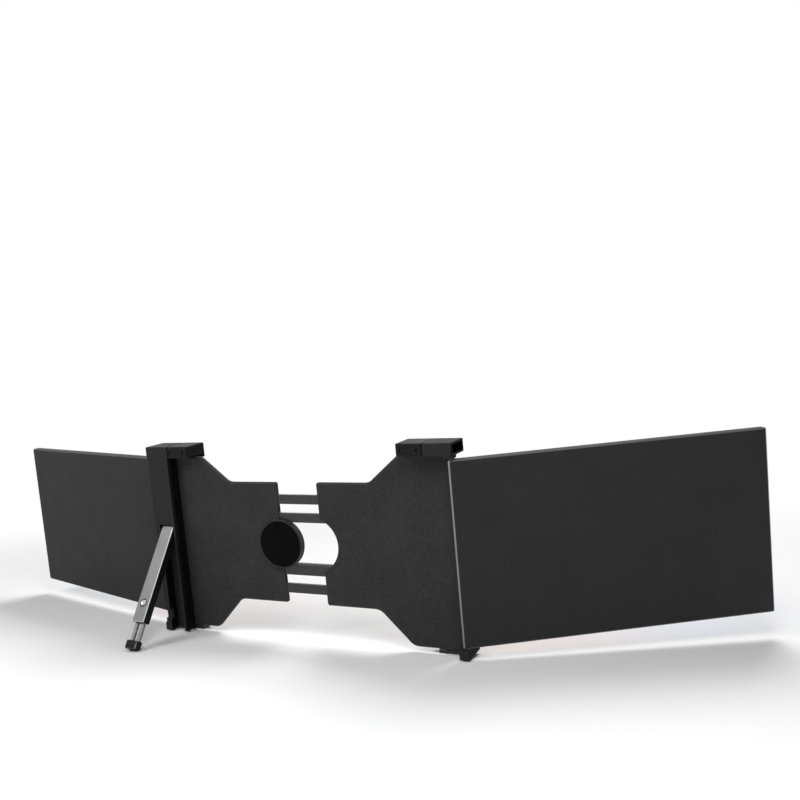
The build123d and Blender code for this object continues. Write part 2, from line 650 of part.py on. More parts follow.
def right_column():
    """Column behind the right plate, with the channel that the kickstand folds into."""
    plan = make_face(Polyline(
        (COLUMN_INNER_X, PLATE_REAR_Y), (ARM_END_X, PLATE_REAR_Y),
        (ARM_END_X, FRAME_REAR_Y - COLUMN_BEVEL), (ARM_END_X - COLUMN_BEVEL, FRAME_REAR_Y),
        (COLUMN_INNER_X + COLUMN_BEVEL, FRAME_REAR_Y),
        (COLUMN_INNER_X, FRAME_REAR_Y - COLUMN_BEVEL), close=True))
    column = Pos(0, 0, BASE_BOTTOM) * extrude(plan, ARM_UNDERSIDE - BASE_BOTTOM)
    body = column + top_arm() + base_arm()
    body -= block((STAND_X - CHANNEL_HALF, STAND_X + CHANNEL_HALF),
                  (CHANNEL_FLOOR_Y, FRAME_REAR_Y), (BASE_BOTTOM, CHANNEL_TOP_Z))
    outer = STAND_X + CHANNEL_HALF
    body -= block((outer, ARM_END_X), (FRAME_REAR_Y - NOTCH_DEPTH, FRAME_REAR_Y),
                  (NOTCH_BOTTOM, NOTCH_BOTTOM + NOTCH_LENGTH))
    body -= rod_x(STAND_PIVOT_Y, STAND_PIVOT_Z, STAND_PIN_RADIUS + SEAT,
                  STAND_X - CHANNEL_HALF - STAND_PIN_SEAT, STAND_X + CHANNEL_HALF + STAND_PIN_SEAT)
    for z in column_screw_heights():
        body -= rod_y(column_screw_x(), z, SCREW_RADIUS + SEAT, PLATE_REAR_Y,
                      PLATE_REAR_Y + COLUMN_SCREW_DEPTH)
    body -= rod_y(STAND_X, CHANNEL_SCREW_Z, SCREW_RADIUS + SEAT, PLATE_REAR_Y, CHANNEL_FLOOR_Y)
    return hook_cuts(hinge_seats(body, RIGHT_PIVOT_Y))


def column_screws():
    """Screws from the plate's front into the column, and the one at the foot of the channel."""
    depth = PLATE_REAR_Y - COVER_FRONT_Y - SCREW_HEAD_HEIGHT + COLUMN_SCREW_DEPTH - SEAT
    shapes = [screw(column_screw_x(), z, COVER_FRONT_Y, 1, SCREW_HEAD, SCREW_RADIUS, depth,
                    SCREW_HEAD_HEIGHT) for z in column_screw_heights()]
    shapes.append(screw(STAND_X, CHANNEL_SCREW_Z, CHANNEL_FLOOR_Y + CHANNEL_SCREW_HEAD, -1,
                        SCREW_HEAD, SCREW_RADIUS, CHANNEL_FLOOR_Y - PLATE_REAR_Y - SEAT,
                        CHANNEL_SCREW_HEAD))
    return Compound(shapes)


def top_clip(side):
    """Hook over the lid's top edge, pushed onto the tongue and held by two screws."""
    clip = block((CLIP_INNER_X, COLUMN_INNER_X - SEAT), (FRAME_FRONT_Y, FRAME_REAR_Y),
                 (ARM_UNDERSIDE, ARM_TOP))
    clip = chamfer(block_rims(clip), FRAME_BEVEL)
    clip += block((CLIP_INNER_X, COLUMN_INNER_X - SEAT), (FRAME_FRONT_Y, LIP_REAR_Y),
                  (ARM_UNDERSIDE - LIP_DROP, ARM_UNDERSIDE))
    clip -= block((CLIP_INNER_X + TONGUE_MARGIN - SEAT, COLUMN_INNER_X),
                  (TONGUE_FRONT_Y - SEAT, TONGUE_REAR_Y + SEAT),
                  (ARM_UNDERSIDE + TONGUE_MARGIN - SEAT, ARM_TOP - TONGUE_MARGIN + SEAT))
    clip -= slab(clip_pad_sketch(SEAT), FRAME_FRONT_Y,
                 FRAME_FRONT_Y - CLIP_PAD_PROUD + CLIP_PAD_DEPTH)
    for x in CLIP_SCREW_X:
        clip -= rod_y(x, CLIP_SCREW_Z, SCREW_RADIUS + SEAT, TONGUE_REAR_Y, FRAME_REAR_Y)
        clip -= rod_y(x, CLIP_SCREW_Z, SCREW_HEAD + OPEN, clip_screw_seat_y(), FRAME_REAR_Y)
    return on_side(clip, side)


def clip_screw_seat_y():
    return FRAME_REAR_Y - CLIP_SCREW_SUNK - SCREW_HEAD_HEIGHT


def clip_pad_sketch(grow=0.0):
    width, height = CLIP_PAD_SIZE
    low = ARM_UNDERSIDE - LIP_DROP + CLIP_PAD_RIM
    x = CLIP_INNER_X + CLIP_PAD_RIM + width / 2
    return Pos(x, low + height / 2) * RectangleRounded(width + 2 * grow, height + 2 * grow, 1.5)


def clip_pad(side):
    body = slab(clip_pad_sketch(), FRAME_FRONT_Y - CLIP_PAD_PROUD,
                FRAME_FRONT_Y - CLIP_PAD_PROUD + CLIP_PAD_DEPTH)
    front = body.faces().sort_by(Axis.Y)[0].edges()
    return on_side(chamfer(front, CLIP_PAD_PROUD / 1.5), side)


def clip_screws(side):
    head_y = clip_screw_seat_y() + SCREW_HEAD_HEIGHT
    depth = clip_screw_seat_y() - TONGUE_FRONT_Y - 8
    return Compound([screw(side * x, CLIP_SCREW_Z, head_y, -1, SCREW_HEAD, SCREW_RADIUS, depth,
                           SCREW_HEAD_HEIGHT) for x in CLIP_SCREW_X])


def side_hook(side):
    """Finger that reaches in front of the lid's side bezel, on a foot under the base arm."""
    foot = block((COLUMN_INNER_X - FINGER_ROOT, COLUMN_INNER_X + 2 * FINGER_ROOT),
                 (FRAME_FRONT_Y, COVER_FRONT_Y), (HOOK_BOTTOM, BASE_BOTTOM))
    foot = fillet(foot.edges().filter_by(Axis.Z), 2.0)
    riser = block((COLUMN_INNER_X - FINGER_ROOT, COLUMN_INNER_X - FREE),
                  (FRAME_FRONT_Y, LIP_REAR_Y), (BASE_BOTTOM, FINGER_Z + FINGER_HEIGHT / 2))
    finger = SlotOverall(FINGER_REACH + FINGER_HEIGHT, FINGER_HEIGHT)
    tip_x = COLUMN_INNER_X - FREE - (FINGER_REACH + FINGER_HEIGHT) / 2
    finger = slab(Pos(tip_x, FINGER_Z) * finger, FRAME_FRONT_Y, LIP_REAR_Y)
    body = foot + riser + finger
    for x in hook_screw_places():
        body -= rod_z(x, hook_screw_y(), HOOK_SCREW_RADIUS + SEAT, HOOK_BOTTOM, BASE_BOTTOM)
        body -= rod_z(x, hook_screw_y(), SCREW_HEAD + SEAT, HOOK_BOTTOM,
                      HOOK_BOTTOM + SCREW_HEAD_HEIGHT)
    return on_side(body, side)


def hook_screws(side):
    shapes = []
    for x in hook_screw_places():
        head = rod_z(x, hook_screw_y(), SCREW_HEAD, HOOK_BOTTOM, HOOK_BOTTOM + SCREW_HEAD_HEIGHT)
        socket = rod_z(x, hook_screw_y(), SCREW_HEAD / 2, HOOK_BOTTOM,
                       HOOK_BOTTOM + SCREW_HEAD_HEIGHT / 2)
        shank = rod_z(x, hook_screw_y(), HOOK_SCREW_RADIUS, HOOK_BOTTOM + SCREW_HEAD_HEIGHT,
                      BASE_BOTTOM + 5.5)
        shapes.append(on_side(head + shank - socket, side))
    return Compound(shapes)


def arm_end_cap(side):
    cap = block((ARM_END_X - END_CAP_DEPTH, ARM_END_X - FREE / 2),
                (FRAME_FRONT_Y + END_CAP_MARGIN + SEAT, FRAME_REAR_Y - END_CAP_MARGIN - SEAT),
                (ARM_UNDERSIDE + END_CAP_MARGIN + SEAT, ARM_TOP - END_CAP_MARGIN - SEAT))
    return on_side(cap, side)


def hinge_pins(side):
    """Two stepped pins: seated in the arms, turning in the screen's barrels."""
    y = LEFT_PIVOT_Y if side < 0 else RIGHT_PIVOT_Y
    top = rod_z(PIVOT_X, y, PIN_RADIUS, SCREEN_TOP - PIN_IN_SCREEN,
                ARM_UNDERSIDE + PIN_IN_ARM - SEAT)
    top += rod_z(PIVOT_X, y, COLLAR_RADIUS, SCREEN_TOP + FREE, BOSS_UNDERSIDE)
    low = rod_z(PIVOT_X, y, PIN_RADIUS, BASE_TOP - PIN_IN_ARM + 1 + SEAT,
                SCREEN_BOTTOM + PIN_IN_SCREEN)
    low += rod_z(PIVOT_X, y, COLLAR_RADIUS, BASE_TOP, SCREEN_BOTTOM - FREE)
    return Compound([on_side(top, side), on_side(low, side)])


# ---------------------------------------------------------------- screens
# A screen is drawn flat, facing -Y: u runs outwards from its inner edge, v is the depth
# behind its face, and z is the height.
def screen_outline(inset=0.0):
    middle_z = (SCREEN_TOP + SCREEN_BOTTOM) / 2
    shape = RectangleRounded(SCREEN_WIDTH - 2 * inset, SCREEN_HEIGHT - 2 * inset,
                             SCREEN_CORNER - inset)
    return Pos(SCREEN_WIDTH / 2, middle_z) * shape


def window_centre():
    return SCREEN_TOP - BEZEL_TOP - ACTIVE_HEIGHT / 2


def screen_bezel():
    """Front frame of a screen, rebated behind for the panel."""
    body = slab(screen_outline(), 0, BEZEL_THICKNESS)
    rim = body.faces().sort_by(Axis.Y)[0].edges()
    body = chamfer(rim, BEZEL_BEVEL)
    middle = Pos(SCREEN_WIDTH / 2, window_centre())
    window = middle * Rectangle(ACTIVE_WIDTH, ACTIVE_HEIGHT)
    body -= slab(window, 0, BEZEL_THICKNESS)
    rebate = middle * Rectangle(ACTIVE_WIDTH + 2 * (PANEL_OVERLAP + SEAT),
                                ACTIVE_HEIGHT + 2 * (PANEL_OVERLAP + SEAT))
    return body - slab(rebate, BEZEL_LIP, BEZEL_THICKNESS)


def display_panel():
    panel = Pos(SCREEN_WIDTH / 2, window_centre()) * Rectangle(
        ACTIVE_WIDTH + 2 * PANEL_OVERLAP, ACTIVE_HEIGHT + 2 * PANEL_OVERLAP)
    return slab(panel, BEZEL_LIP, BEZEL_LIP + PANEL_THICKNESS)


def boss_places():
    us = (BOSS_INSET, SCREEN_WIDTH / 2, SCREEN_WIDTH - BOSS_INSET)
    zs = (SCREEN_TOP - BOSS_INSET, SCREEN_BOTTOM + BOSS_INSET)
    return [(u, z) for u in us for z in zs]


def board_box():
    """Limits of the driver board: u, v and z."""
    rear = SCREEN_THICKNESS - SCREEN_WALL - BOARD_STANDOFF
    outer = SCREEN_WIDTH - SCREEN_WALL - BOARD_FROM_WALL
    top = SCREEN_TOP - BOARD_DROP
    return ((outer - BOARD_WIDTH, outer), (rear - BOARD_THICKNESS, rear),
            (top - BOARD_LENGTH, top))


def screen_back():
    """Tray behind the bezel, with bosses for the panel and openings in its edges."""
    body = slab(screen_outline(), BEZEL_THICKNESS, SCREEN_THICKNESS)
    body = chamfer(body.faces().sort_by(Axis.Y)[-1].edges(), SCREEN_BACK_BEVEL)
    inner = screen_outline(SCREEN_WALL)
    body -= slab(inner, BEZEL_THICKNESS, SCREEN_THICKNESS - SCREEN_WALL)
    floor = SCREEN_THICKNESS - SCREEN_WALL
    for u, z in boss_places():
        body += rod_y(u, z, BOSS_RADIUS, BEZEL_LIP + PANEL_THICKNESS, floor)
    us, vs, zs = board_box()
    for u in (us[0] + BOARD_POST_INSET, us[1] - BOARD_POST_INSET - BOARD_POST_SHIFT):
        for z in (zs[0] + BOARD_POST_INSET, zs[1] - BOARD_POST_INSET):
            body += rod_y(u, z, BOARD_POST_RADIUS, vs[1], floor)
    wall = (SCREEN_WIDTH - SCREEN_WALL - 0.1, SCREEN_WIDTH + 1)
    for drop, size in ((HDMI_DROP, HDMI_SIZE), (USB_DROP, USB_SIZE)):
        body -= edge_hole(drop, size[0] / 2 + SEAT, size[1] / 2 + SEAT, wall)
    body -= rod_x(PORT_FROM_FACE, SCREEN_TOP - JACK_DROP, JACK_RADIUS + SEAT, *wall)
    for drop in (POWER_BUTTON_DROP, MENU_BUTTON_DROP):
        body -= edge_hole(drop, BUTTON_SIZE[0] / 2 + FREE, BUTTON_SIZE[1] / 2 + FREE, wall)
    for z in (SCREEN_TOP, SCREEN_BOTTOM):
        body -= rod_z(PIVOT_FROM_EDGE, SCREEN_THICKNESS / 2, PIN_RADIUS + OPEN,
                      z - BARREL_INSET, z + BARREL_INSET)
    return body


def edge_hole(drop, half_height, half_depth, wall):
    z = SCREEN_TOP - drop
    return block(wall, (PORT_FROM_FACE - half_depth, PORT_FROM_FACE + half_depth),
                 (z - half_height, z + half_height))


def screen_ports():
    """Shells of the three sockets in the outer edge, soldered to the board."""
    inner = SCREEN_WIDTH - PORT_DEPTH
    shapes = []
    for drop, size in ((HDMI_DROP, HDMI_SIZE), (USB_DROP, USB_SIZE)):
        shell = edge_hole(drop, size[0] / 2, size[1] / 2, (inner, SCREEN_WIDTH - 0.1))
        shell = fillet(shell.edges().filter_by(Axis.X), size[1] / 3)
        room = edge_hole(drop, size[0] / 2 - PORT_WALL, size[1] / 2 - PORT_WALL,
                         (inner + PORT_WALL, SCREEN_WIDTH))
        tongue = edge_hole(drop, size[0] / 2 - 1.4, 0.35, (inner, SCREEN_WIDTH - 1.2))
        shapes.append(shell - room + tongue)
    z = SCREEN_TOP - JACK_DROP
    jack = rod_x(PORT_FROM_FACE, z, JACK_RADIUS, inner, SCREEN_WIDTH - 0.1)
    shapes.append(jack - rod_x(PORT_FROM_FACE, z, JACK_BORE, inner + 1, SCREEN_WIDTH))
    return Compound(shapes)


def screen_button(drop):
    """Push button: a stem through the edge of the tray and a flange behind the wall."""
    outside = SCREEN_WIDTH + BUTTON_PROUD
    inside = SCREEN_WIDTH - SCREEN_WALL
    stem = edge_hole(drop, BUTTON_SIZE[0] / 2, BUTTON_SIZE[1] / 2,
                     (inside - BUTTON_FLANGE, outside))
    stem = fillet(stem.edges().filter_by(Axis.X), BUTTON_SIZE[1] / 3)
    flange = edge_hole(drop, BUTTON_SIZE[0] / 2 + BUTTON_FLANGE_RIM,
                       BUTTON_SIZE[1] / 2 + BUTTON_FLANGE_RIM / 2,
                       (inside - BUTTON_FLANGE - FREE / 3, inside - FREE / 3))
    return stem + flange


def driver_board():
    """Circuit board beside the sockets, cut out around the sockets and the buttons."""
    us, vs, zs = board_box()
    board = block(us, vs, zs)
    sockets = (SCREEN_WIDTH - PORT_DEPTH - FREE, SCREEN_WIDTH)
    for drop, size in ((HDMI_DROP, HDMI_SIZE), (USB_DROP, USB_SIZE),
                       (JACK_DROP, (2 * JACK_RADIUS, 2 * JACK_RADIUS))):
        board -= edge_hole(drop, size[0] / 2 + FREE / 3, size[1] / 2 + FREE, sockets)
    chip_u = us[0] + CHIP_INSET
    raised = (vs[0] - CHIP_HEIGHT, vs[0])
    for (width, length), rise in (((CHIP_SIZE, CHIP_SIZE), CHIP_RISE),
                                  (CONNECTOR_SIZE, CONNECTOR_RISE)):
        board += block((chip_u, chip_u + width), raised, (zs[0] + rise, zs[0] + rise + length))
    return board


def hinge_brackets():
    """A barrel round each hinge pin and the leaf that fixes it in the tray."""
    floor = SCREEN_THICKNESS - SCREEN_WALL
    middle_v = SCREEN_THICKNESS / 2
    shapes = []
    for z in (SCREEN_TOP - BARREL_INSET - BARREL_LENGTH, SCREEN_BOTTOM + BARREL_INSET):
        barrel = rod_z(PIVOT_FROM_EDGE, middle_v, BARREL_RADIUS, z, z + BARREL_LENGTH)
        leaf = block((PIVOT_FROM_EDGE, LEAF_LENGTH), (floor - LEAF_THICKNESS, floor),
                     (z, z + BARREL_LENGTH))
        web = block((PIVOT_FROM_EDGE, PIVOT_FROM_EDGE + BARREL_RADIUS), (middle_v, floor),
                    (z, z + BARREL_LENGTH))
        for u in (LEAF_LENGTH - 4, LEAF_LENGTH - 12):
            leaf -= rod_y(u, z + BARREL_LENGTH / 2, 1.4, floor - LEAF_THICKNESS, floor)
        bore = rod_z(PIVOT_FROM_EDGE, middle_v, PIN_RADIUS + RUN, z, z + BARREL_LENGTH)
        shapes.append(barrel + leaf + web - bore)
    return Compound(shapes)


def screen_parts():
    return {
        "screen_back_cover": screen_back(),
        "screen_bezel": screen_bezel(),
        "display_panel": display_panel(),
        "driver_board": driver_board(),
        "screen_ports": screen_ports(),
        "power_button": screen_button(POWER_BUTTON_DROP),
        "menu_button": screen_button(MENU_BUTTON_DROP),
        "hinge_brackets": hinge_brackets(),
    }


def hang_screen(shape, side):
    """Bring a flat-drawn screen piece to its pivot and swing it forward to its rest angle."""
    pivot_y = LEFT_PIVOT_Y if side < 0 else RIGHT_PIVOT_Y
    angle = LEFT_REST_ANGLE if side < 0 else RIGHT_REST_ANGLE
    turned = Rot(0, 0, -angle) * Pos(-PIVOT_FROM_EDGE, -SCREEN_THICKNESS / 2, 0) * shape
    return on_side(Pos(PIVOT_X, pivot_y, 0) * turned, side)


# ---------------------------------------------------------------- kickstand
# The kickstand is drawn folded, hanging straight down from its pivot at the origin.
def swing(shape):
    return Pos(STAND_X, STAND_PIVOT_Y, STAND_PIVOT_Z) * Rot(STAND_REST_ANGLE, 0, 0) * shape


def stand_sketch(y_front, y_rear):
    """Side view of the bar, with Y across and Z up: a round head and a square end."""
    radius = STAND_END_RADIUS
    straight = Pos((y_front + y_rear) / 2, -STAND_LENGTH / 2) * Rectangle(
        y_rear - y_front, STAND_LENGTH)
    band = Pos((y_front + y_rear) / 2, 0) * Rectangle(y_rear - y_front, 2 * radius)
    return straight + (Circle(radius) & band)


def across_x(sketch, half_width):
    return extrude(Plane.YZ.offset(-half_width) * sketch, 2 * half_width)


def rod_places():
    return (-ROD_SPACING / 2, ROD_SPACING / 2)


def kickstand_bar():
    """Black body of the bar: bores for the two rods, and the pocket for the release."""
    radius = STAND_END_RADIUS
    body = across_x(stand_sketch(-radius, radius - STAND_FACE), STAND_WIDTH / 2)
    body -= rod_x(0, 0, STAND_PIN_RADIUS + RUN, -STAND_WIDTH, STAND_WIDTH)
    depth = ROD_INSIDE + ROD_TRAVEL_IN + 1
    for x in rod_places():
        body -= rod_z(x, -ROD_DROP, ROD_RADIUS + RUN, -STAND_LENGTH, depth - STAND_LENGTH)
    release_z = RELEASE_FROM_END - STAND_LENGTH
    body -= rod_y(0, release_z, RELEASE_FLANGE + OPEN, release_floor_y(), radius)
    return body


def release_floor_y():
    """Floor of the release button's pocket, just above the bores of the rods."""
    return -ROD_DROP + ROD_RADIUS + RUN + RELEASE_FLOOR


def kickstand_face():
    """Silver strip along the bar's rear face, with the hole for the release button."""
    radius = STAND_END_RADIUS
    strip = across_x(stand_sketch(radius - STAND_FACE, radius), STAND_WIDTH / 2)
    strip -= rod_y(0, RELEASE_FROM_END - STAND_LENGTH, RELEASE_RING + SEAT, 0, radius + 1)
    edges = strip.faces().sort_by(Axis.Y)[-1].edges().filter_by(Axis.Z)
    edges = edges.filter_by(lambda e: abs(e.center().X) > STAND_WIDTH / 2 - 1)
    return chamfer(edges, STAND_FACE / 3)


def release_ring():
    """Dark ring round the release button; it keeps the button's flange in."""
    y = STAND_END_RADIUS
    z = RELEASE_FROM_END - STAND_LENGTH
    ring = rod_y(0, z, RELEASE_RING, y - STAND_FACE, y + RELEASE_RING_PROUD)
    rim = ring.faces().sort_by(Axis.Y)[-1].edges()
    ring = chamfer(rim, RELEASE_RING_PROUD / 2)
    return ring - rod_y(0, z, RELEASE_RADIUS + FREE / 2, 0, y + 1)


def release_button():
    y = STAND_END_RADIUS
    z = RELEASE_FROM_END - STAND_LENGTH
    flange_top = y - STAND_FACE - FREE / 3
    stem = rod_y(0, z, RELEASE_RADIUS, flange_top - RELEASE_RIM, y + RELEASE_PROUD)
    rim = stem.faces().sort_by(Axis.Y)[-1].edges()
    stem = fillet(rim, RELEASE_PROUD / 2)
    return stem + rod_y(0, z, RELEASE_FLANGE, flange_top - RELEASE_RIM, flange_top)


def kickstand_rods():
    """Two steel rods that slide out of the bar and carry the foot."""
    top = ROD_INSIDE - STAND_LENGTH
    low = -STAND_LENGTH - ROD_VISIBLE - ROD_IN_FOOT
    return Compound([rod_z(x, -ROD_DROP, ROD_RADIUS, low, top) for x in rod_places()])


def kickstand_foot():
    """Rubber foot moulded on the ends of the rods, flush with the bar's front so that it folds."""
    top = -STAND_LENGTH - ROD_VISIBLE
    front = -STAND_END_RADIUS
    foot = block((-FOOT_WIDTH / 2, FOOT_WIDTH / 2), (front, front + FOOT_DEPTH),
                 (top - FOOT_HEIGHT, top))
    foot = fillet(foot.edges().filter_by(Axis.Z), 2.0)
    foot = fillet(foot.faces().sort_by(Axis.Z)[0].edges(), 1.2)
    for x in rod_places():
        foot -= rod_z(x, -ROD_DROP, ROD_RADIUS + SEAT, top - ROD_IN_FOOT, top)
    return foot


def kickstand_pin():
    """The pin through the column that the kickstand swings on."""
    half = CHANNEL_HALF + STAND_PIN_SEAT - SEAT
    return rod_x(STAND_PIVOT_Y, STAND_PIVOT_Z, STAND_PIN_RADIUS, STAND_X - half, STAND_X + half)


# ---------------------------------------------------------------- the whole part
def all_parts():
    parts = {
        "left_frame_bracket": left_frame_bracket(),
        "right_column": right_column(),
        "column_screws": column_screws(),
        "upper_rail": upper_rail(),
        "rack_rail": rack_rail(),
        "rail_screws": rail_screws(),
        "rail_guide_posts": rail_guide_posts(),
        "damper_pinion": pinion(),
        "pinion_axle": pinion_axle(),
        "hub_ring": hub_ring(),
        "hub_cap": hub_cap(),
        "kickstand_pin": kickstand_pin(),
        "kickstand_bar": swing(kickstand_bar()),
        "kickstand_face": swing(kickstand_face()),
        "release_ring": swing(release_ring()),
        "release_button": swing(release_button()),
        "kickstand_rods": swing(kickstand_rods()),
        "kickstand_foot": swing(kickstand_foot()),
    }
    for name, side in (("left", -1), ("right", 1)):
        parts[f"{name}_plate_rear_cover"] = rear_cover(side)
        parts[f"{name}_plate_front_cover"] = front_cover(side)
        parts[f"{name}_plate_screws"] = plate_screws(side)
        parts[f"{name}_lid_pads"] = lid_pads(side)
        parts[f"{name}_top_clip"] = top_clip(side)
        parts[f"{name}_clip_pad"] = clip_pad(side)
        parts[f"{name}_clip_screws"] = clip_screws(side)
        parts[f"{name}_side_hook"] = side_hook(side)
        parts[f"{name}_hook_screws"] = hook_screws(side)
        parts[f"{name}_arm_end_cap"] = arm_end_cap(side)
        parts[f"{name}_hinge_pins"] = hinge_pins(side)
    for piece, shape in screen_parts().items():
        for name, side in (("left", -1), ("right", 1)):
            parts[f"{name}_{piece}"] = hang_screen(shape, side)
    return parts


os.makedirs("parts", exist_ok=True)
for node, shape in all_parts().items():
    export_step(shape, f"parts/{node}.step")
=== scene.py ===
# %% [markdown]
# # A two-screen extender for a laptop
# Two slim screens hang on a sliding frame that hooks over a laptop's lid. A kickstand on the
# back carries the weight. The moving solids come from the CAD frame, so this lesson adds only
# what the eye needs: finishes, small turned and moulded pieces, a studio and a camera.

import math

import bmesh
import bpy
from mathutils import Matrix, Vector


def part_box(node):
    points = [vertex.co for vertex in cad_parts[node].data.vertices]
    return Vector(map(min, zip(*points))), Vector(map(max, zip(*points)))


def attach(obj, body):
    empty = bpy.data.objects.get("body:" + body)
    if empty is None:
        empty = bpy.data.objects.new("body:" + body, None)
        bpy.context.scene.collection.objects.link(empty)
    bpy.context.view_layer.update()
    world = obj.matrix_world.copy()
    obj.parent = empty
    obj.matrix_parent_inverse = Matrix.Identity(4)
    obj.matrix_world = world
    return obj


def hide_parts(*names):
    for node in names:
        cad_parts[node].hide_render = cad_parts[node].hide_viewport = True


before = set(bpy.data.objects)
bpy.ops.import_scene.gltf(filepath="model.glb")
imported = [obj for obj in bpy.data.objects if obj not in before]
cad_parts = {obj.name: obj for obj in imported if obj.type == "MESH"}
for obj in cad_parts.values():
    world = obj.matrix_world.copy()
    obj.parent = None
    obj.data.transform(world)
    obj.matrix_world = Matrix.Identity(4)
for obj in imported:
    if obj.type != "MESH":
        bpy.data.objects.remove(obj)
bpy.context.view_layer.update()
MM = 0.001      # one millimetre in Blender's metres
print("nodes:", len(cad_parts))

# %% [markdown]
# ## Camera
# The extender is seen from behind and a little above, so that the slide, the hub and the
# kickstand all show. A camera can be aimed with Euler angles, but a position, a line of sight and
# the direction of the picture's right edge say the same in numbers that are easy to check.

# %% Camera
CAMERA_PLACE = Vector((-0.51025, 0.76663, 0.23784))
LINE_OF_SIGHT = Vector((0.4415, -0.89153, -0.10124)).normalized()
PICTURE_RIGHT = Vector((-0.89655, -0.43386, -0.08921))
FOCAL_LENGTH_MM = 38.82
SENSOR_MM = 36.0

backward = -LINE_OF_SIGHT
picture_up = backward.cross(PICTURE_RIGHT).normalized()
picture_right = picture_up.cross(backward)
camera_data = bpy.data.cameras.new("camera")
camera_data.sensor_width = SENSOR_MM
camera_data.lens = FOCAL_LENGTH_MM
camera = bpy.data.objects.new("camera", camera_data)
axes = Matrix((picture_right, picture_up, backward)).transposed().to_4x4()
camera.matrix_world = Matrix.Translation(CAMERA_PLACE) @ axes
bpy.context.scene.collection.objects.link(camera)
bpy.context.scene.camera = camera
print("camera stands", round(CAMERA_PLACE.length, 3), "m from the middle of the frame")

# %% [markdown]
# ## Studio
# The product stands on a pale table in a white room. One way is a curved paper sweep. A flat
# round table that fades out towards its rim does the same job for any camera, because there is
# no corner to see: its material turns see-through with the distance from the middle, and the
# white world shows behind it. The lid that carries the extender leans back a little, so seen
# from the upright frame the table rises towards the back: it touches the hooks and the
# kickstand's foot.

# %% Helpers for node trees
def new_tree(name):
    """A material whose node tree holds only its output, with the tree and that output."""
    material = bpy.data.materials.new(name)
    material.use_nodes = True
    tree = material.node_tree
    tree.nodes.clear()
    output = tree.nodes.new("ShaderNodeOutputMaterial")
    return material, tree, output


def add(tree, kind, inputs=None, **settings):
    """A node of that kind; inputs are values, or sockets to link from."""
    node = tree.nodes.new("ShaderNode" + kind)
    for key, value in settings.items():
        setattr(node, key, value)
    for key, value in (inputs or {}).items():
        if isinstance(value, bpy.types.NodeSocket):
            tree.links.new(value, node.inputs[key])
        else:
            node.inputs[key].default_value = value
    return node


def maths(tree, operation, first, second=0.0):
    """The result of a Math node; each side is a value or a socket."""
    return add(tree, "Math", {0: first, 1: second}, operation=operation).outputs[0]


def grey(level):
    """An opaque grey colour."""
    return (level, level, level, 1.0)


print("helpers ready")

# %% Table
hook_low, hook_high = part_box("left_side_hook")
foot_low, foot_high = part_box("kickstand_foot")
FOOT_EDGE_SHARE = 0.3   # where along the foot its lowest edge lies
FOOT_EDGE_Y = foot_low.y + FOOT_EDGE_SHARE * (foot_high.y - foot_low.y)
TABLE_LEAN = max(0.0, math.atan2(foot_low.z - hook_low.z, FOOT_EDGE_Y - hook_high.y))
TABLE_GAP = 0.0002      # keeps the table's surface out of the hooks' undersides
TABLE_RADIUS = 3.2

table_mesh = bmesh.new()
bmesh.ops.create_circle(table_mesh, cap_ends=True, segments=96, radius=TABLE_RADIUS)
lean = (Matrix.Translation((0, hook_high.y, hook_low.z - TABLE_GAP))
        @ Matrix.Rotation(TABLE_LEAN, 4, "X"))
bmesh.ops.transform(table_mesh, matrix=lean, verts=table_mesh.verts)
table_data = bpy.data.meshes.new("table")
table_mesh.to_mesh(table_data)
table_mesh.free()
table = bpy.data.objects.new("table", table_data)
bpy.context.scene.collection.objects.link(table)
print("the table leans", round(math.degrees(TABLE_LEAN), 1), "degrees")

# %% The table's paint
FADE_START, FADE_END = 0.55, 1.2        # metres from the middle

table_paint, tree, output = new_tree("table_paint")
place = add(tree, "TexCoord")
reach = add(tree, "VectorMath", {0: place.outputs["Object"]}, operation="LENGTH")
fade = add(tree, "MapRange", {"Value": reach.outputs["Value"], "From Min": FADE_START,
                              "From Max": FADE_END}, interpolation_type="SMOOTHSTEP")
paint = add(tree, "BsdfDiffuse", {"Color": grey(0.93)})
nothing = add(tree, "BsdfTransparent")
blend = add(tree, "MixShader", {0: fade.outputs["Result"], 1: paint.outputs[0],
                                2: nothing.outputs[0]})
tree.links.new(blend.outputs[0], output.inputs["Surface"])
table.data.materials.append(table_paint)
print("the table fades out from", FADE_START, "to", FADE_END, "m")

# %% The white room
ROOM_LIGHT = 0.20       # what the room gives to matt surfaces; to the eye it is plain white

world = bpy.data.worlds.new("white_room")
bpy.context.scene.world = world
world.use_nodes = True
sky = world.node_tree
sky.nodes.clear()
rays = add(sky, "LightPath")
seen = maths(sky, "MAXIMUM", rays.outputs["Is Camera Ray"], rays.outputs["Is Glossy Ray"])
seen = maths(sky, "MAXIMUM", seen, rays.outputs["Is Transmission Ray"])
room = add(sky, "Background", {"Color": grey(1.0), "Strength": ROOM_LIGHT})
backdrop = add(sky, "Background", {"Color": grey(1.0), "Strength": 1.0})
both = add(sky, "MixShader", {0: seen, 1: room.outputs[0], 2: backdrop.outputs[0]})
sky_output = add(sky, "OutputWorld")
sky.links.new(both.outputs[0], sky_output.inputs["Surface"])
bpy.context.scene.view_settings.view_transform = "Standard"
print("the room lights everything with", ROOM_LIGHT)

# %% [markdown]
# ## Lamps
# Soft boxes are area lamps. The large one stands high in front of the screens: it lights the
# table, rims the upper edges and throws the shadow towards the viewer. Two small ones, left and
# right as the camera sees them, lift the dark backs and give the bevels their shine. Together
# with the room they light the table to just under white, so the shadow on it stays readable.

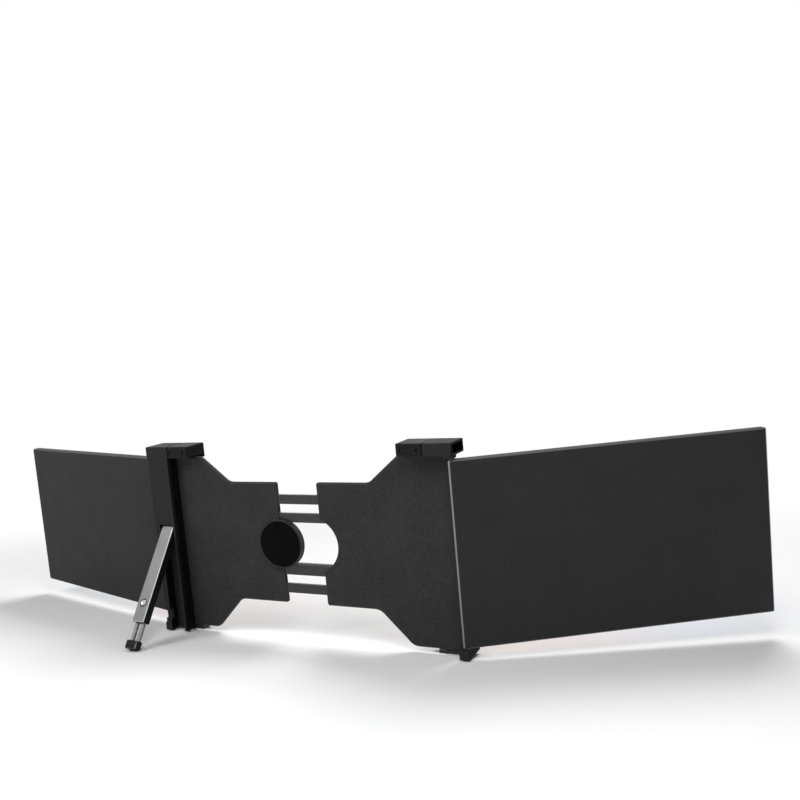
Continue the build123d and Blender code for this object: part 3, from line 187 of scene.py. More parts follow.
# %% Lamps
LAMPS = {   # place, target, width in metres, watts
    "left_box": ((0.55, 0.60, 0.80), (0.1, 0.0, 0.0), 0.5, 5.0),
    "right_box": ((-0.45, 0.50, 0.85), (-0.3, 0.0, 0.0), 0.4, 3.8),
    "front_box": ((-0.1, -1.0, 1.5), (0.0, 0.0, 0.0), 1.0, 23.0),
}
for name, (spot, target, width, watts) in LAMPS.items():
    lamp = bpy.data.lights.new(name, "AREA")
    lamp.shape = "SQUARE"
    lamp.size = width
    lamp.energy = watts
    holder = bpy.data.objects.new(name, lamp)
    aim = Vector(target) - Vector(spot)
    holder.matrix_world = (Matrix.Translation(spot)
                           @ aim.to_track_quat("-Z", "Y").to_matrix().to_4x4())
    bpy.context.scene.collection.objects.link(holder)
    print(name, "stands", round(aim.length, 2), "m away")

# %% [markdown]
# ## Moulded plastic
# Nearly everything outside is black moulded plastic. A real mould is spark-eroded, so the skin
# has a fine grain and its gloss changes a little from place to place. Its edges are painted
# lighter and made smoother: partly rubbed plastic, partly a painted highlight where edges catch
# the light. One recipe gives all of that: noise in object space for grain and gloss, and a Bevel
# node, which also tells how close the nearest edge is.

# %% Building blocks: edge rubbing and highlight, noise and mixing
FLAT, SHARP = 0.995, 0.80     # how far the softened normal agrees with the true one


def edge_rub_and_highlight(tree, radius, strength):
    """0 on flat skin and up to strength at sharp edges, and the softened normal there."""
    soft = add(tree, "Bevel", {"Radius": radius}, samples=4)
    surface = add(tree, "NewGeometry")
    agree = add(tree, "VectorMath", {0: soft.outputs["Normal"], 1: surface.outputs["Normal"]},
                operation="DOT_PRODUCT")
    rubbed_and_lit = add(tree, "MapRange", {"Value": agree.outputs["Value"], "From Min": FLAT,
                                  "From Max": SHARP, "To Max": strength})
    return rubbed_and_lit.outputs["Result"], soft.outputs["Normal"]


def noise(tree, size, detail=2.0, roughness=0.5, distortion=0.0, vector=None):
    """Noise in object space whose blotches are about size metres across."""
    if vector is None:
        vector = add(tree, "TexCoord").outputs["Object"]
    node = add(tree, "TexNoise", {"Vector": vector, "Scale": 1.0 / size, "Detail": detail,
                                  "Roughness": roughness, "Distortion": distortion})
    return node.outputs["Fac"]


def spread(tree, value, low, high, start=0.3, end=0.7):
    """Stretch the middle of a noise to the values from low to high."""
    node = add(tree, "MapRange", {"Value": value, "From Min": start, "From Max": end,
                                  "To Min": low, "To Max": high})
    return node.outputs["Result"]


def mix_colour(tree, factor, first, second, blend="MIX"):
    """Two colours, each given as values or as a socket, blended by a factor."""
    node = add(tree, "Mix", {0: factor}, data_type="RGBA", blend_type=blend)
    for socket, value in ((node.inputs[6], first), (node.inputs[7], second)):
        if isinstance(value, bpy.types.NodeSocket):
            tree.links.new(value, socket)
        else:
            socket.default_value = value
    return node.outputs[2]


print("noise, spread, mix and edge wear are ready")

# %% Recipe for a moulded or machined skin
COS_45, CHAMFER_RANGE = 0.707, 0.12
CLOUD_SIZE, SMUDGE_SIZE, FLECK_SIZE = 0.045, 0.018, 0.0022      # metres across


def chamfer_highlight_mask(tree, face):
    """Where highlights are painted: 1 on upright faces that lean 45 degrees from face, less on
    level ones, 0 elsewhere.
    """
    normal = add(tree, "TexCoord").outputs["Normal"]
    lean = add(tree, "VectorMath", {0: normal, 1: face}, operation="DOT_PRODUCT")
    on_chamfer = add(tree, "Math", {0: lean.outputs["Value"], 1: COS_45, 2: CHAMFER_RANGE},
                     operation="COMPARE").outputs[0]
    up = add(tree, "SeparateXYZ", {0: normal}).outputs["Z"]
    steep = add(tree, "MapRange", {"Value": maths(tree, "ABSOLUTE", up), "From Min": 0.3,
                                   "From Max": 0.6, "To Min": 1.0, "To Max": 0.3})
    return maths(tree, "MULTIPLY", on_chamfer, steep.outputs["Result"])


def skin(name, colour, roughness, grain=0.0007, depth=0.00004, wear=0.35, edge=0.0005,
         rubbed_and_lit_colour=None, gloss_spread=0.06, metallic=0.0, specular=0.15, shade_spread=0.12,
         speckle=0.12, highlight_face=None, highlight_level=0.13, wall_shade_level=None):
    """A grained skin with uneven gloss and edges painted lighter, as rubbed and as a highlight.
    Lengths are in metres.

    Chamfers that lean 45 degrees from a given face direction get a painted highlight. The wall
    level darkens the upright end walls that face along X: painted shade.
    """
    material, tree, output = new_tree(name)
    base = (*colour, 1.0)
    rubbed_and_lit_colour = (*(rubbed_and_lit_colour or [min(1.0, 2.2 * c + 0.03) for c in colour]), 1.0)
    rubbed_and_lit, soft_normal = edge_rub_and_highlight(tree, edge, wear)
    cloud = noise(tree, CLOUD_SIZE, detail=4.0, roughness=0.6)
    shade = spread(tree, cloud, 1.0 - shade_spread, 1.0 + shade_spread)
    fleck = spread(tree, noise(tree, FLECK_SIZE, detail=3.0, roughness=0.8),
                   1.0 - speckle, 1.0 + speckle)
    varied = mix_colour(tree, 1.0, base, maths(tree, "MULTIPLY", shade, fleck), "MULTIPLY")
    # Edges are painted lighter: partly rubbed plastic, partly a painted highlight.
    rubbed_skin_and_painted_light = mix_colour(tree, rubbed_and_lit, varied, rubbed_and_lit_colour)
    # Painted shade: upright walls that face along X are darkened towards the wall level.
    if wall_shade_level is not None:
        facing = add(tree, "SeparateXYZ", {0: add(tree, "TexCoord").outputs["Normal"]})
        painted_wall_shade = add(tree, "MapRange", {
            "Value": maths(tree, "ABSOLUTE", facing.outputs["X"]), "From Min": 0.3,
            "From Max": 0.65, "To Min": 1.0, "To Max": wall_shade_level})
        rubbed_skin_and_painted_light = mix_colour(tree, 1.0, rubbed_skin_and_painted_light, painted_wall_shade.outputs["Result"], "MULTIPLY")
    shine = metallic
    # Painted highlight: chamfers that lean 45 degrees from the given face are painted light grey
    # and made partly metal.
    if highlight_face:
        on_chamfer = chamfer_highlight_mask(tree, highlight_face)
        rubbed_skin_and_painted_light = mix_colour(tree, on_chamfer, rubbed_skin_and_painted_light, grey(highlight_level))
        shine = maths(tree, "MULTIPLY", on_chamfer, 0.8)
    smudge = noise(tree, SMUDGE_SIZE, detail=5.0, roughness=0.65, distortion=0.4)
    gloss = spread(tree, smudge, roughness - gloss_spread, roughness + gloss_spread)
    pits = noise(tree, grain, detail=1.5)
    relief = add(tree, "Bump", {"Height": pits, "Distance": depth, "Strength": 0.6,
                                "Normal": soft_normal})
    shader = add(tree, "BsdfPrincipled", {
        "Base Color": rubbed_skin_and_painted_light, "Roughness": gloss, "Metallic": shine,
        "Specular IOR Level": specular, "Normal": relief.outputs["Normal"]})
    tree.links.new(shader.outputs[0], output.inputs["Surface"])
    return material


print("skin is ready")

# %% Plates, frame and clips
def paint_nodes(material, *names):
    """Give CAD nodes a finish in place of the plain one that they came with."""
    for node_name in names:
        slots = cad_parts[node_name].data.materials
        slots.clear()
        slots.append(material)
    print(material.name, "on", len(names), "nodes")


def both_sides(*pieces):
    """The names of the left and the right node of each kind."""
    return [side + "_" + piece for side in ("left", "right") for piece in pieces]


# The plates' edges are painted lighter, as rubbed plastic and as a painted highlight.
plate_skin = skin("plate_plastic", (0.032, 0.032, 0.0325), 0.55, grain=0.0012, depth=0.0001,
                  wear=0.8, edge=0.0008, rubbed_and_lit_colour=(0.13, 0.13, 0.132), specular=0.10,
                  speckle=0.26)
paint_nodes(plate_skin, *both_sides("plate_rear_cover", "plate_front_cover"))

# The column's walls that face along X get painted shade.
frame_skin = skin("frame_plastic", (0.029, 0.029, 0.0295), 0.48, grain=0.0006, wear=0.55,
                  specular=0.03, rubbed_and_lit_colour=(0.085, 0.085, 0.087), wall_shade_level=0.15)
paint_nodes(frame_skin, "left_frame_bracket", "right_column")

# The clips' walls that face along X get painted shade.
clip_skin = skin("clip_plastic", (0.016, 0.016, 0.0165), 0.42, grain=0.0006, wear=0.6,
                 specular=0.05, rubbed_and_lit_colour=(0.095, 0.095, 0.097), wall_shade_level=0.3)
paint_nodes(clip_skin, *both_sides("top_clip"))

# %% Screen covers, bezels, buttons and white gear plastic
HINGES = {      # pivot, turn about +Z, and the way that the screen reaches out along X
    "left": (Vector((-0.1865, 0.014, 0)), math.radians(31.0), -1),
    "right": (Vector((0.1865, -0.00525, 0)), math.radians(-15.0), 1)}
for side, (pivot, turn, sign) in HINGES.items():
    rear = (-math.sin(turn), math.cos(turn), 0.0)
    # Chamfers facing the screen's back get a painted highlight.
    screen_skin = skin(side + "_screen_back_plastic", (0.034, 0.034, 0.034), 0.48, grain=0.0008,
                       depth=0.00005, wear=0.5, edge=0.0006, rubbed_and_lit_colour=(0.10, 0.10, 0.102),
                       specular=0.05, shade_spread=0.06, speckle=0.08, highlight_face=rear,
                       highlight_level=0.24)
    paint_nodes(screen_skin, side + "_screen_back_cover")

bezel_skin = skin("bezel_plastic", (0.030, 0.031, 0.034), 0.38, grain=0.0005, wear=0.5)
paint_nodes(bezel_skin, *both_sides("screen_bezel"))

button_skin = skin("button_plastic", (0.02, 0.02, 0.021), 0.45, grain=0.0004, wear=0.5)
paint_nodes(button_skin, *both_sides("power_button", "menu_button"))

# Near black and without gloss: painted shade that stands for the deep recess at each arm's end.
cap_black_and_shade = skin("end_cap_plastic", (0.0015, 0.0015, 0.0015), 0.30, grain=0.0005,
                depth=0.00001, wear=0.2, specular=0.0)
paint_nodes(cap_black_and_shade, *both_sides("arm_end_cap"))

gear_skin = skin("gear_plastic", (0.72, 0.71, 0.67), 0.42, grain=0.0009, wear=0.0,
                 depth=0.00002, shade_spread=0.05)
paint_nodes(gear_skin, "damper_pinion", "rail_guide_posts")

# %% [markdown]
# ## Metal, rubber and the hub
# Rolled and drawn metal has a direction: its scratches run along the piece, and the eye reads
# them as brushed. An anisotropic shader would stretch the gloss alone; stretched noise in object
# space also gives lines to see close up. Rubber is the same recipe as plastic with a softer
# gloss, and the hub's disc is polished plastic, nearly black.

# %% Recipe for brushed metal
def brushed(name, colour, roughness, along, line=0.00025, length=0.03, wear=0.4,
            metallic=1.0, rubbed_and_lit_colour=None, depth=0.00001, edge=0.0004, highlight_face=None,
            highlight_level=0.5):
    """Metal with fine lines along one direction, a vector in the row frame."""
    material, tree, output = new_tree(name)
    direction = Vector(along).normalized()
    place_socket = add(tree, "TexCoord").outputs["Object"]
    down_line = add(tree, "VectorMath", {0: place_socket, 1: tuple(direction)},
                    operation="DOT_PRODUCT").outputs["Value"]
    shift = add(tree, "VectorMath", {0: tuple(direction), "Scale": down_line},
                operation="SCALE").outputs["Vector"]
    squeeze = add(tree, "VectorMath", {0: shift, "Scale": 1.0 - line / length},
                  operation="SCALE").outputs["Vector"]
    drawn = add(tree, "VectorMath", {0: place_socket, 1: squeeze},
                operation="SUBTRACT").outputs["Vector"]
    lines = noise(tree, line, detail=3.0, roughness=0.7, vector=drawn)
    cloud = noise(tree, 0.02, detail=4.0)
    rubbed_and_lit, soft_normal = edge_rub_and_highlight(tree, edge, wear)
    bright = (*(rubbed_and_lit_colour or [min(1.0, 1.4 * c) for c in colour]), 1.0)
    shade = spread(tree, lines, 0.82, 1.18)
    streaked = mix_colour(tree, 1.0, (*colour, 1.0), shade, "MULTIPLY")
    # Edges are painted lighter: partly rubbed metal, partly a painted highlight.
    rubbed_skin_and_painted_light = mix_colour(tree, rubbed_and_lit, streaked, bright)
    # Painted highlight: chamfers that lean 45 degrees from the given face are painted light grey.
    if highlight_face:
        rubbed_skin_and_painted_light = mix_colour(tree, chamfer_highlight_mask(tree, highlight_face), rubbed_skin_and_painted_light, grey(highlight_level))
    gloss = spread(tree, cloud, roughness - 0.06, roughness + 0.08)
    relief = add(tree, "Bump", {"Height": lines, "Distance": depth, "Strength": 0.5,
                                "Normal": soft_normal})
    shader = add(tree, "BsdfPrincipled", {
        "Base Color": rubbed_skin_and_painted_light, "Roughness": gloss, "Metallic": metallic,
        "Normal": relief.outputs["Normal"]})
    tree.links.new(shader.outputs[0], output.inputs["Surface"])
    return material


print("brushed is ready")

# %% Metals of the kickstand
STAND_ANGLE = math.radians(36.0)
DOWN_THE_STAND = (0.0, math.sin(STAND_ANGLE), -math.cos(STAND_ANGLE))
OUT_OF_THE_STAND = (0.0, math.cos(STAND_ANGLE), math.sin(STAND_ANGLE))

# The strip's cut rim gets a painted highlight.
silver = brushed("stand_silver", (0.17, 0.17, 0.172), 0.42, DOWN_THE_STAND, metallic=0.55,
                 wear=0.3, highlight_face=OUT_OF_THE_STAND, highlight_level=0.62)
bar_black = skin("stand_black", (0.006, 0.006, 0.006), 0.45, grain=0.0005, wear=0.35,
                 specular=0.08)
paint_nodes(bar_black, "kickstand_bar")
rod_steel = brushed("rod_steel", (0.17, 0.17, 0.175), 0.36, DOWN_THE_STAND, line=0.0005,
                    length=0.008, wear=0.0, depth=0.00003)
paint_nodes(rod_steel, "kickstand_rods")
button_metal = brushed("button_silver", (0.40, 0.40, 0.405), 0.22, (1, 0, 0), line=0.0002,
                       length=0.004)
ring_metal = brushed("ring_gunmetal", (0.045, 0.045, 0.047), 0.30, (1, 0, 0), line=0.0002,
                     length=0.003, wear=0.8, rubbed_and_lit_colour=(0.20, 0.20, 0.205))
paint_nodes(ring_metal, "release_ring")

# %% Rails, hooks, screws, hinges and sockets
# Rails and hooks get bright edges: rubbed metal and a painted highlight.
rail_metal = brushed("rail_metal", (0.030, 0.030, 0.032), 0.40, (1, 0, 0), metallic=0.3,
                     wear=1.0, rubbed_and_lit_colour=(0.30, 0.30, 0.305), edge=0.0006)
paint_nodes(rail_metal, "upper_rail", "rack_rail")
hook_metal = skin("hook_metal", (0.030, 0.030, 0.032), 0.38, grain=0.0005, wear=1.0,
                  edge=0.0022, metallic=0.3, rubbed_and_lit_colour=(0.30, 0.30, 0.305))
paint_nodes(hook_metal, *both_sides("side_hook"))
screw_steel = brushed("screw_steel", (0.012, 0.012, 0.0125), 0.32, (1, 0, 0), line=0.0002,
                      length=0.002, metallic=0.9, wear=0.6, rubbed_and_lit_colour=(0.11, 0.11, 0.112))
hinge_steel = brushed("hinge_steel", (0.06, 0.06, 0.062), 0.34, (0, 0, 1), length=0.01,
                      metallic=0.8)
paint_nodes(hinge_steel, "pinion_axle", "kickstand_pin",
            *both_sides("hinge_pins", "hinge_brackets"))
port_metal = brushed("port_metal", (0.45, 0.45, 0.46), 0.30, (1, 0, 0), length=0.006)
paint_nodes(port_metal, *both_sides("screen_ports"))

# %% Rubber and the hub
white_rubber = skin("silicone_white", (0.80, 0.80, 0.79), 0.55, grain=0.0008, depth=0.00003,
                    wear=0.0, shade_spread=0.03, specular=0.3)
paint_nodes(white_rubber, *both_sides("clip_pad"))
black_rubber = skin("silicone_black", (0.022, 0.022, 0.022), 0.70, grain=0.0007, wear=0.15,
                    specular=0.25)
paint_nodes(black_rubber, *both_sides("lid_pads"))
# The boot's chamfers facing out of the stand get a painted highlight.
foot_rubber = skin("foot_rubber", (0.015, 0.015, 0.0155), 0.55, grain=0.0009, depth=0.00006,
                   wear=0.4, specular=0.08, highlight_face=OUT_OF_THE_STAND, highlight_level=0.20)
hub_gloss = skin("hub_gloss", (0.0012, 0.0012, 0.0012), 0.07, grain=0.004, depth=0.000004,
                 wear=0.1, gloss_spread=0.025, specular=0.04)
hub_trim = skin("hub_trim", (0.020, 0.020, 0.021), 0.28, grain=0.0005, wear=0.6,
                rubbed_and_lit_colour=(0.09, 0.09, 0.095), specular=0.12)
paint_nodes(hub_trim, "hub_ring")

# %% [markdown]
# ## The lit picture
# The screens show a made-up picture of flowing ribbons: warm at the hinge, rose in the middle,
# deep blue at the outer end. An image file could be used, but noise cut into layers needs no
# file and stays sharp: each layer is one ribbon, dark where it goes under the next, with fine
# pleats along it. The picture is laid in the screen's own plane: a Mapping node turns object
# space into a square from 0 to 1 across the lit area.

# %% The lit area as a square
LIT_SIZE = (0.2938, 0.1652)
LIT_CORNER = Vector((0.0081, -0.00385, -0.0812))   # from the pivot, on an unturned screen


def lit_plane(tree, side):
    """Object space brought to 0..1 across (u) and up (w) the lit area."""
    pivot, turn, sign = HINGES[side]
    flat = Vector((sign * LIT_CORNER.x, LIT_CORNER.y, LIT_CORNER.z))
    corner = pivot + Matrix.Rotation(turn, 3, "Z") @ flat
    place_socket = add(tree, "TexCoord").outputs["Object"]
    square = add(tree, "Mapping", {
        "Vector": place_socket, "Location": corner, "Rotation": (0, 0, turn),
        "Scale": (sign * LIT_SIZE[0], 1.0, LIT_SIZE[1])}, vector_type="TEXTURE")
    parts = add(tree, "SeparateXYZ", {0: square.outputs["Vector"]})
    return parts.outputs["X"], parts.outputs["Z"]


print("the lit area is", LIT_SIZE[0], "by", LIT_SIZE[1], "m")

# %% The picture's colours
def ramp(tree, value, stops):
    """Colours looked up along a value; stops are (position, colour) pairs."""
    node = add(tree, "ValToRGB", {"Fac": value})
    points = node.color_ramp.elements
    while len(points) < len(stops):
        points.new(0.5)
    for point, (position, colour) in zip(points, stops):
        point.position = position
        point.color = (*colour, 1.0)
    return node.outputs["Color"]


RIBBONS = [(0.00, (1.00, 0.62, 0.10)), (0.20, (1.00, 0.40, 0.06)), (0.36, (0.95, 0.22, 0.16)),
           (0.47, (0.95, 0.36, 0.46)), (0.56, (0.62, 0.66, 0.90)), (0.68, (0.10, 0.48, 0.98)),
           (0.84, (0.02, 0.20, 0.86)), (1.00, (0.01, 0.06, 0.50))]
BACKDROP_TINTS = [(0.0, (0.86, 0.62, 0.50)), (0.5, (0.62, 0.66, 0.74)),
                  (1.0, (0.34, 0.48, 0.66))]
RIBBON_SHADE = [(0.0, (0.42, 0.42, 0.46)), (0.12, (0.80, 0.80, 0.82)), (0.55, (1.0, 1.0, 1.0)),
                (0.90, (0.82, 0.82, 0.84)), (1.0, (1.0, 1.0, 1.0))]
print(len(RIBBONS), "ribbon colours")

# %% The picture
SHEET_DEPTH = {"left": 3.7, "right": 8.2}   # each screen cuts the noise at its own depth
DRIFT_SIZE, DRIFT_STRENGTH = 0.9, 0.9
FOLD_SIZE = 0.62
RIBBON_LAYERS = 11.0
PLEATS = 90.0
PLEAT_SHIFT = 3.1                           # from one ribbon to the next
GOLDEN = 0.618                              # scatters the ribbons' hues evenly
HUE_SCATTER = 0.16
CLOTH_EDGE = (0.40, 0.44)                   # below the first is backdrop, above the last silk
GLOW = 0.92


def screen_picture(side):
    """Silk ribbons over a soft backdrop, glowing behind black glass."""
    material, tree, output = new_tree(side + "_display")
    u, w = lit_plane(tree, side)
    wide = maths(tree, "MULTIPLY", u, LIT_SIZE[0] / LIT_SIZE[1])
    sheet = add(tree, "CombineXYZ", {0: wide, 1: w, 2: SHEET_DEPTH[side]}).outputs[0]
    drift = noise(tree, DRIFT_SIZE, detail=2.0, distortion=0.8, vector=sheet)
    lean = maths(tree, "MULTIPLY", maths(tree, "SUBTRACT", drift, 0.5), DRIFT_STRENGTH)
    folds = noise(tree, FOLD_SIZE, detail=1.0, roughness=0.3, distortion=1.0, vector=sheet)
    layers = maths(tree, "MULTIPLY", folds, RIBBON_LAYERS)
    across_ribbon = maths(tree, "FRACT", layers)
    ribbon = maths(tree, "FLOOR", layers)
    scattered = maths(tree, "FRACT", maths(tree, "MULTIPLY", ribbon, GOLDEN))
    hue_step = maths(tree, "MULTIPLY", maths(tree, "SUBTRACT", scattered, 0.5), HUE_SCATTER)
    tone = maths(tree, "ADD", maths(tree, "ADD", u, lean), hue_step)
    colours = ramp(tree, tone, RIBBONS)
    shade = ramp(tree, across_ribbon, RIBBON_SHADE)
    pleat_place = maths(tree, "ADD", maths(tree, "MULTIPLY", drift, PLEATS),
                        maths(tree, "MULTIPLY", ribbon, PLEAT_SHIFT))
    pleats = add(tree, "TexNoise", {"W": pleat_place, "Scale": 1.0, "Detail": 3.0},
                 noise_dimensions="1D").outputs["Fac"]
    silk = mix_colour(tree, 1.0, colours, shade, "MULTIPLY")
    silk = mix_colour(tree, 1.0, silk, spread(tree, pleats, 0.80, 1.10), "MULTIPLY")
    behind = ramp(tree, maths(tree, "ADD", w, maths(tree, "MULTIPLY", lean, 0.3)),
                  BACKDROP_TINTS)
    shape = noise(tree, FOLD_SIZE, detail=1.2, distortion=1.4, vector=sheet)
    cover = add(tree, "MapRange", {"Value": shape, "From Min": CLOTH_EDGE[0],
                                   "From Max": CLOTH_EDGE[1]})
    picture = mix_colour(tree, cover.outputs["Result"], behind, silk)
    shader = add(tree, "BsdfPrincipled", {
        "Base Color": grey(0.012), "Roughness": spread(tree, noise(tree, 0.03), 0.30, 0.36),
        "Specular IOR Level": 0.12, "Emission Color": picture, "Emission Strength": GLOW})
    tree.links.new(shader.outputs[0], output.inputs["Surface"])
    return material


for side in HINGES:
    paint_nodes(screen_picture(side), side + "_display_panel")

# %% [markdown]
# ## Circuit board
# The board sits inside the tray and is seen only when the cover is off. An image of real tracks
# would be wasted there, so a brick pattern stands for the copper runs under the green mask, and
# a little noise breaks up the gloss.

# %% Circuit board
board_paint, tree, output = new_tree("board")
runs = add(tree, "TexBrick", {"Vector": add(tree, "TexCoord").outputs["Object"],
                              "Color1": (0.012, 0.10, 0.045, 1), "Color2": (0.018, 0.14, 0.06, 1),
                              "Mortar": (0.05, 0.30, 0.12, 1), "Scale": 220.0,
                              "Mortar Size": 0.04})
mask_grain = noise(tree, 0.0006)
shader = add(tree, "BsdfPrincipled", {
    "Base Color": runs.outputs["Color"], "Roughness": spread(tree, mask_grain, 0.28, 0.40),
    "Normal": add(tree, "Bump", {"Height": runs.outputs["Fac"],
                                 "Distance": 0.04 * MM}).outputs[0]})
tree.links.new(shader.outputs[0], output.inputs["Surface"])
paint_nodes(board_paint, *both_sides("driver_board"))

# %% [markdown]
# ## Screws with a cross recess
# The CAD screws have a plain round socket. Up close a real one has a domed rim and a cross for
# the driver. A boolean cut would work, but filling the ring between a circle and a cross, and
# pushing the cross in, gives clean faces. The places are read from the CAD screws themselves.

# %% Helpers for meshes
WELD_DISTANCE = 0.002 * MM      # corners nearer than this are one


def merged_copy(node_name):
    """A joined-up copy of a CAD node's loose triangles."""
    mesh = bmesh.new()
    mesh.from_mesh(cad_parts[node_name].data)
    bmesh.ops.remove_doubles(mesh, verts=mesh.verts, dist=WELD_DISTANCE)
    return mesh


def islands(mesh):
    """Lists of the corners of each separate solid in a mesh."""
    seen, found = set(), []
    for start in mesh.verts:
        if start in seen:
            continue
        seen.add(start)
        frontier, corners = [start], []
        while frontier:
            vert = frontier.pop()
            corners.append(vert.co.copy())
            for edge in vert.link_edges:
                other = edge.other_vert(vert)
                if other not in seen:
                    seen.add(other)
                    frontier.append(other)
        found.append(corners)
    return found


def ring_of(verts):
    """The edges that join these corners, each once and in a fixed order."""
    edges = dict.fromkeys(edge for vert in verts for edge in vert.link_edges)
    return [edge for edge in edges if edge.verts[0] in verts and edge.verts[1] in verts]


def new_corners(result):
    """The corners that an extrusion made."""
    return [item for item in result["geom"] if isinstance(item, bmesh.types.BMVert)]


def new_piece(name, mesh, body, material, slot_name, *stands_for, smooth=35.0):
    """Turn a bmesh into a piece that rides on a body."""
    data = bpy.data.meshes.new(name)
    mesh.to_mesh(data)
    mesh.free()
    data.materials.append(material)
    for face in data.polygons:
        face.use_smooth = True
    data.set_sharp_from_angle(angle=math.radians(smooth))
    piece = bpy.data.objects.new(name, data)
    bpy.context.scene.collection.objects.link(piece)
    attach(piece, body)
    if stands_for:
        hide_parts(*stands_for)
    print(name, len(data.polygons), "faces on", body)
    return piece


print("mesh helpers are ready")

# %% A screw
CROSS_ARM, CROSS_HALF = 0.62, 0.17      # shares of the head's radius
RECESS_DEPTH, RIM_ROUND = 0.45, 0.18    # shares of the head's height
RECESS_TAPER = 0.7


def screw_shape(head_radius, head_height, shank_radius, shank_length):
    """A screw along +Z whose head's top is at the origin."""
    mesh = bmesh.new()
    rim = bmesh.ops.create_circle(mesh, segments=32, radius=head_radius)["verts"]
    arm, half = CROSS_ARM * head_radius, CROSS_HALF * head_radius
    cross = bmesh.ops.create_circle(mesh, segments=12, radius=arm)["verts"]
    outline = [(arm, -half), (arm, half), (half, half), (half, arm), (-half, arm), (-half, half),
               (-arm, half), (-arm, -half), (-half, -half), (-half, -arm), (half, -arm),
               (half, -half)]
    for vert, (x, y) in zip(cross, outline):
        vert.co = (x, y, 0)
    rim_ring, cross_ring = ring_of(rim), ring_of(cross)
    bmesh.ops.triangle_fill(mesh, use_beauty=True, edges=rim_ring + cross_ring)
    floor = new_corners(bmesh.ops.extrude_edge_only(mesh, edges=cross_ring))
    bmesh.ops.scale(mesh, verts=floor, vec=(RECESS_TAPER, RECESS_TAPER, 1))
    bmesh.ops.translate(mesh, verts=floor, vec=(0, 0, -RECESS_DEPTH * head_height))
    bmesh.ops.triangle_fill(mesh, use_beauty=True, edges=ring_of(floor))
    under = new_corners(bmesh.ops.extrude_edge_only(mesh, edges=rim_ring))
    bmesh.ops.translate(mesh, verts=under, vec=(0, 0, -head_height))
    bmesh.ops.bevel(mesh, geom=rim_ring, affect="EDGES", offset=RIM_ROUND * head_height,
                    segments=3, profile=0.5, material=-1)
    neck = new_corners(bmesh.ops.extrude_edge_only(mesh, edges=ring_of(under)))
    tight = shank_radius / head_radius
    bmesh.ops.scale(mesh, verts=neck, vec=(tight, tight, 1))
    shank = new_corners(bmesh.ops.extrude_edge_only(mesh, edges=ring_of(neck)))
    bmesh.ops.translate(mesh, verts=shank, vec=(0, 0, -shank_length))
    bmesh.ops.contextual_create(mesh, geom=ring_of(shank))
    bmesh.ops.recalc_face_normals(mesh, faces=mesh.faces)
    return mesh


print("screw_shape is ready")

# %% Put the screws in
HEAD_SHARE, SHANK_SHARE = 0.97, 0.75    # of the radius: beyond the first is the head's rim


def dressed_screws(node_name, body):
    """Put a cross-recessed screw in the place of each plain one in a CAD node."""
    mesh = merged_copy(node_name)
    solids = islands(mesh)
    mesh.free()
    group = bmesh.new()
    for corners in solids:
        low = Vector([min(c[i] for c in corners) for i in range(3)])
        high = Vector([max(c[i] for c in corners) for i in range(3)])
        size = high - low
        along = max(range(3), key=lambda i: abs(size[i] - sorted(size)[1]))
        middle = (low + high) / 2
        across = [i for i in range(3) if i != along]
        radius = size[across[0]] / 2

        def off_axis(corner):
            return math.hypot(*(corner[i] - middle[i] for i in across))

        head = [c[along] for c in corners if off_axis(c) > HEAD_SHARE * radius]
        shank = max(off_axis(c) for c in corners if off_axis(c) < SHANK_SHARE * radius)
        up = 1.0 if sum(head) / len(head) > middle[along] else -1.0
        top = high[along] if up > 0 else low[along]
        height = max(head) - min(head)
        pattern = screw_shape(radius, height, shank, size[along] - height)
        aim = Vector([up if i == along else 0.0 for i in range(3)])
        turn = aim.to_track_quat("Z", "X").to_matrix().to_4x4()
        spot = middle.copy()
        spot[along] = top
        pattern.transform(Matrix.Translation(spot) @ turn)
        data = bpy.data.meshes.new("pattern")
        pattern.to_mesh(data)
        pattern.free()
        group.from_mesh(data)
        bpy.data.meshes.remove(data)
    return new_piece(node_name.replace("screws", "cross_screws"), group, body, screw_steel,
                     "screw_steel", node_name, smooth=40.0)


for side, first in (("right", "column_screws"), ("left", "rail_screws")):
    dressed_screws(first, side + "_frame")
    for kind in ("plate", "clip", "hook"):
        dressed_screws(side + "_" + kind + "_screws", side + "_frame")

# %% [markdown]
# ## The hub's polished disc
# The CAD disc is flat, and a flat mirror shows one patch of the room. The real disc is very
# slightly crowned, with a soft rim, so the light slides over it. A cylinder with a bevel would
# stay flat on top; a profile spun round its axis gives the crown and the rim in one go.

# %% Turned shapes
def turned(profile, steps=72):
    """Spin a profile of (radius, height) pairs round +Z; it starts and ends on the axis."""
    mesh = bmesh.new()
    verts = [mesh.verts.new((radius, 0, height)) for radius, height in profile]
    edges = [mesh.edges.new(pair) for pair in zip(verts, verts[1:])]
    bmesh.ops.spin(mesh, geom=verts + edges, cent=(0, 0, 0), axis=(0, 0, 1),
                   angle=2 * math.pi, steps=steps, use_merge=True)
    bmesh.ops.remove_doubles(mesh, verts=mesh.verts, dist=WELD_DISTANCE)
    bmesh.ops.recalc_face_normals(mesh, faces=mesh.faces)
    return mesh


def crowned_profile(radius, bottom, top, crown, rim):
    """Flat underside, straight side, rounded rim and a shallow crown."""
    points = [(0.0, bottom), (radius, bottom), (radius, top - crown - rim)]
    for step in range(1, 7):
        angle = math.radians(15.0 * step)
        points.append((radius - rim + rim * math.cos(angle),
                       top - crown - rim + rim * math.sin(angle)))
    edge = radius - rim
    for step in range(1, 9):
        share = 1.0 - step / 8.0
        points.append((edge * share, top - crown * share * share))
    return points


print("turned and crowned_profile are ready")

# %% The hub's disc
DISC_CROWN, DISC_RIM, DISC_PROUD = 0.5 * MM, 0.3 * MM, 0.3 * MM
UP_TO_REAR = Matrix.Rotation(math.radians(-90.0), 4, "X")     # +Z becomes +Y

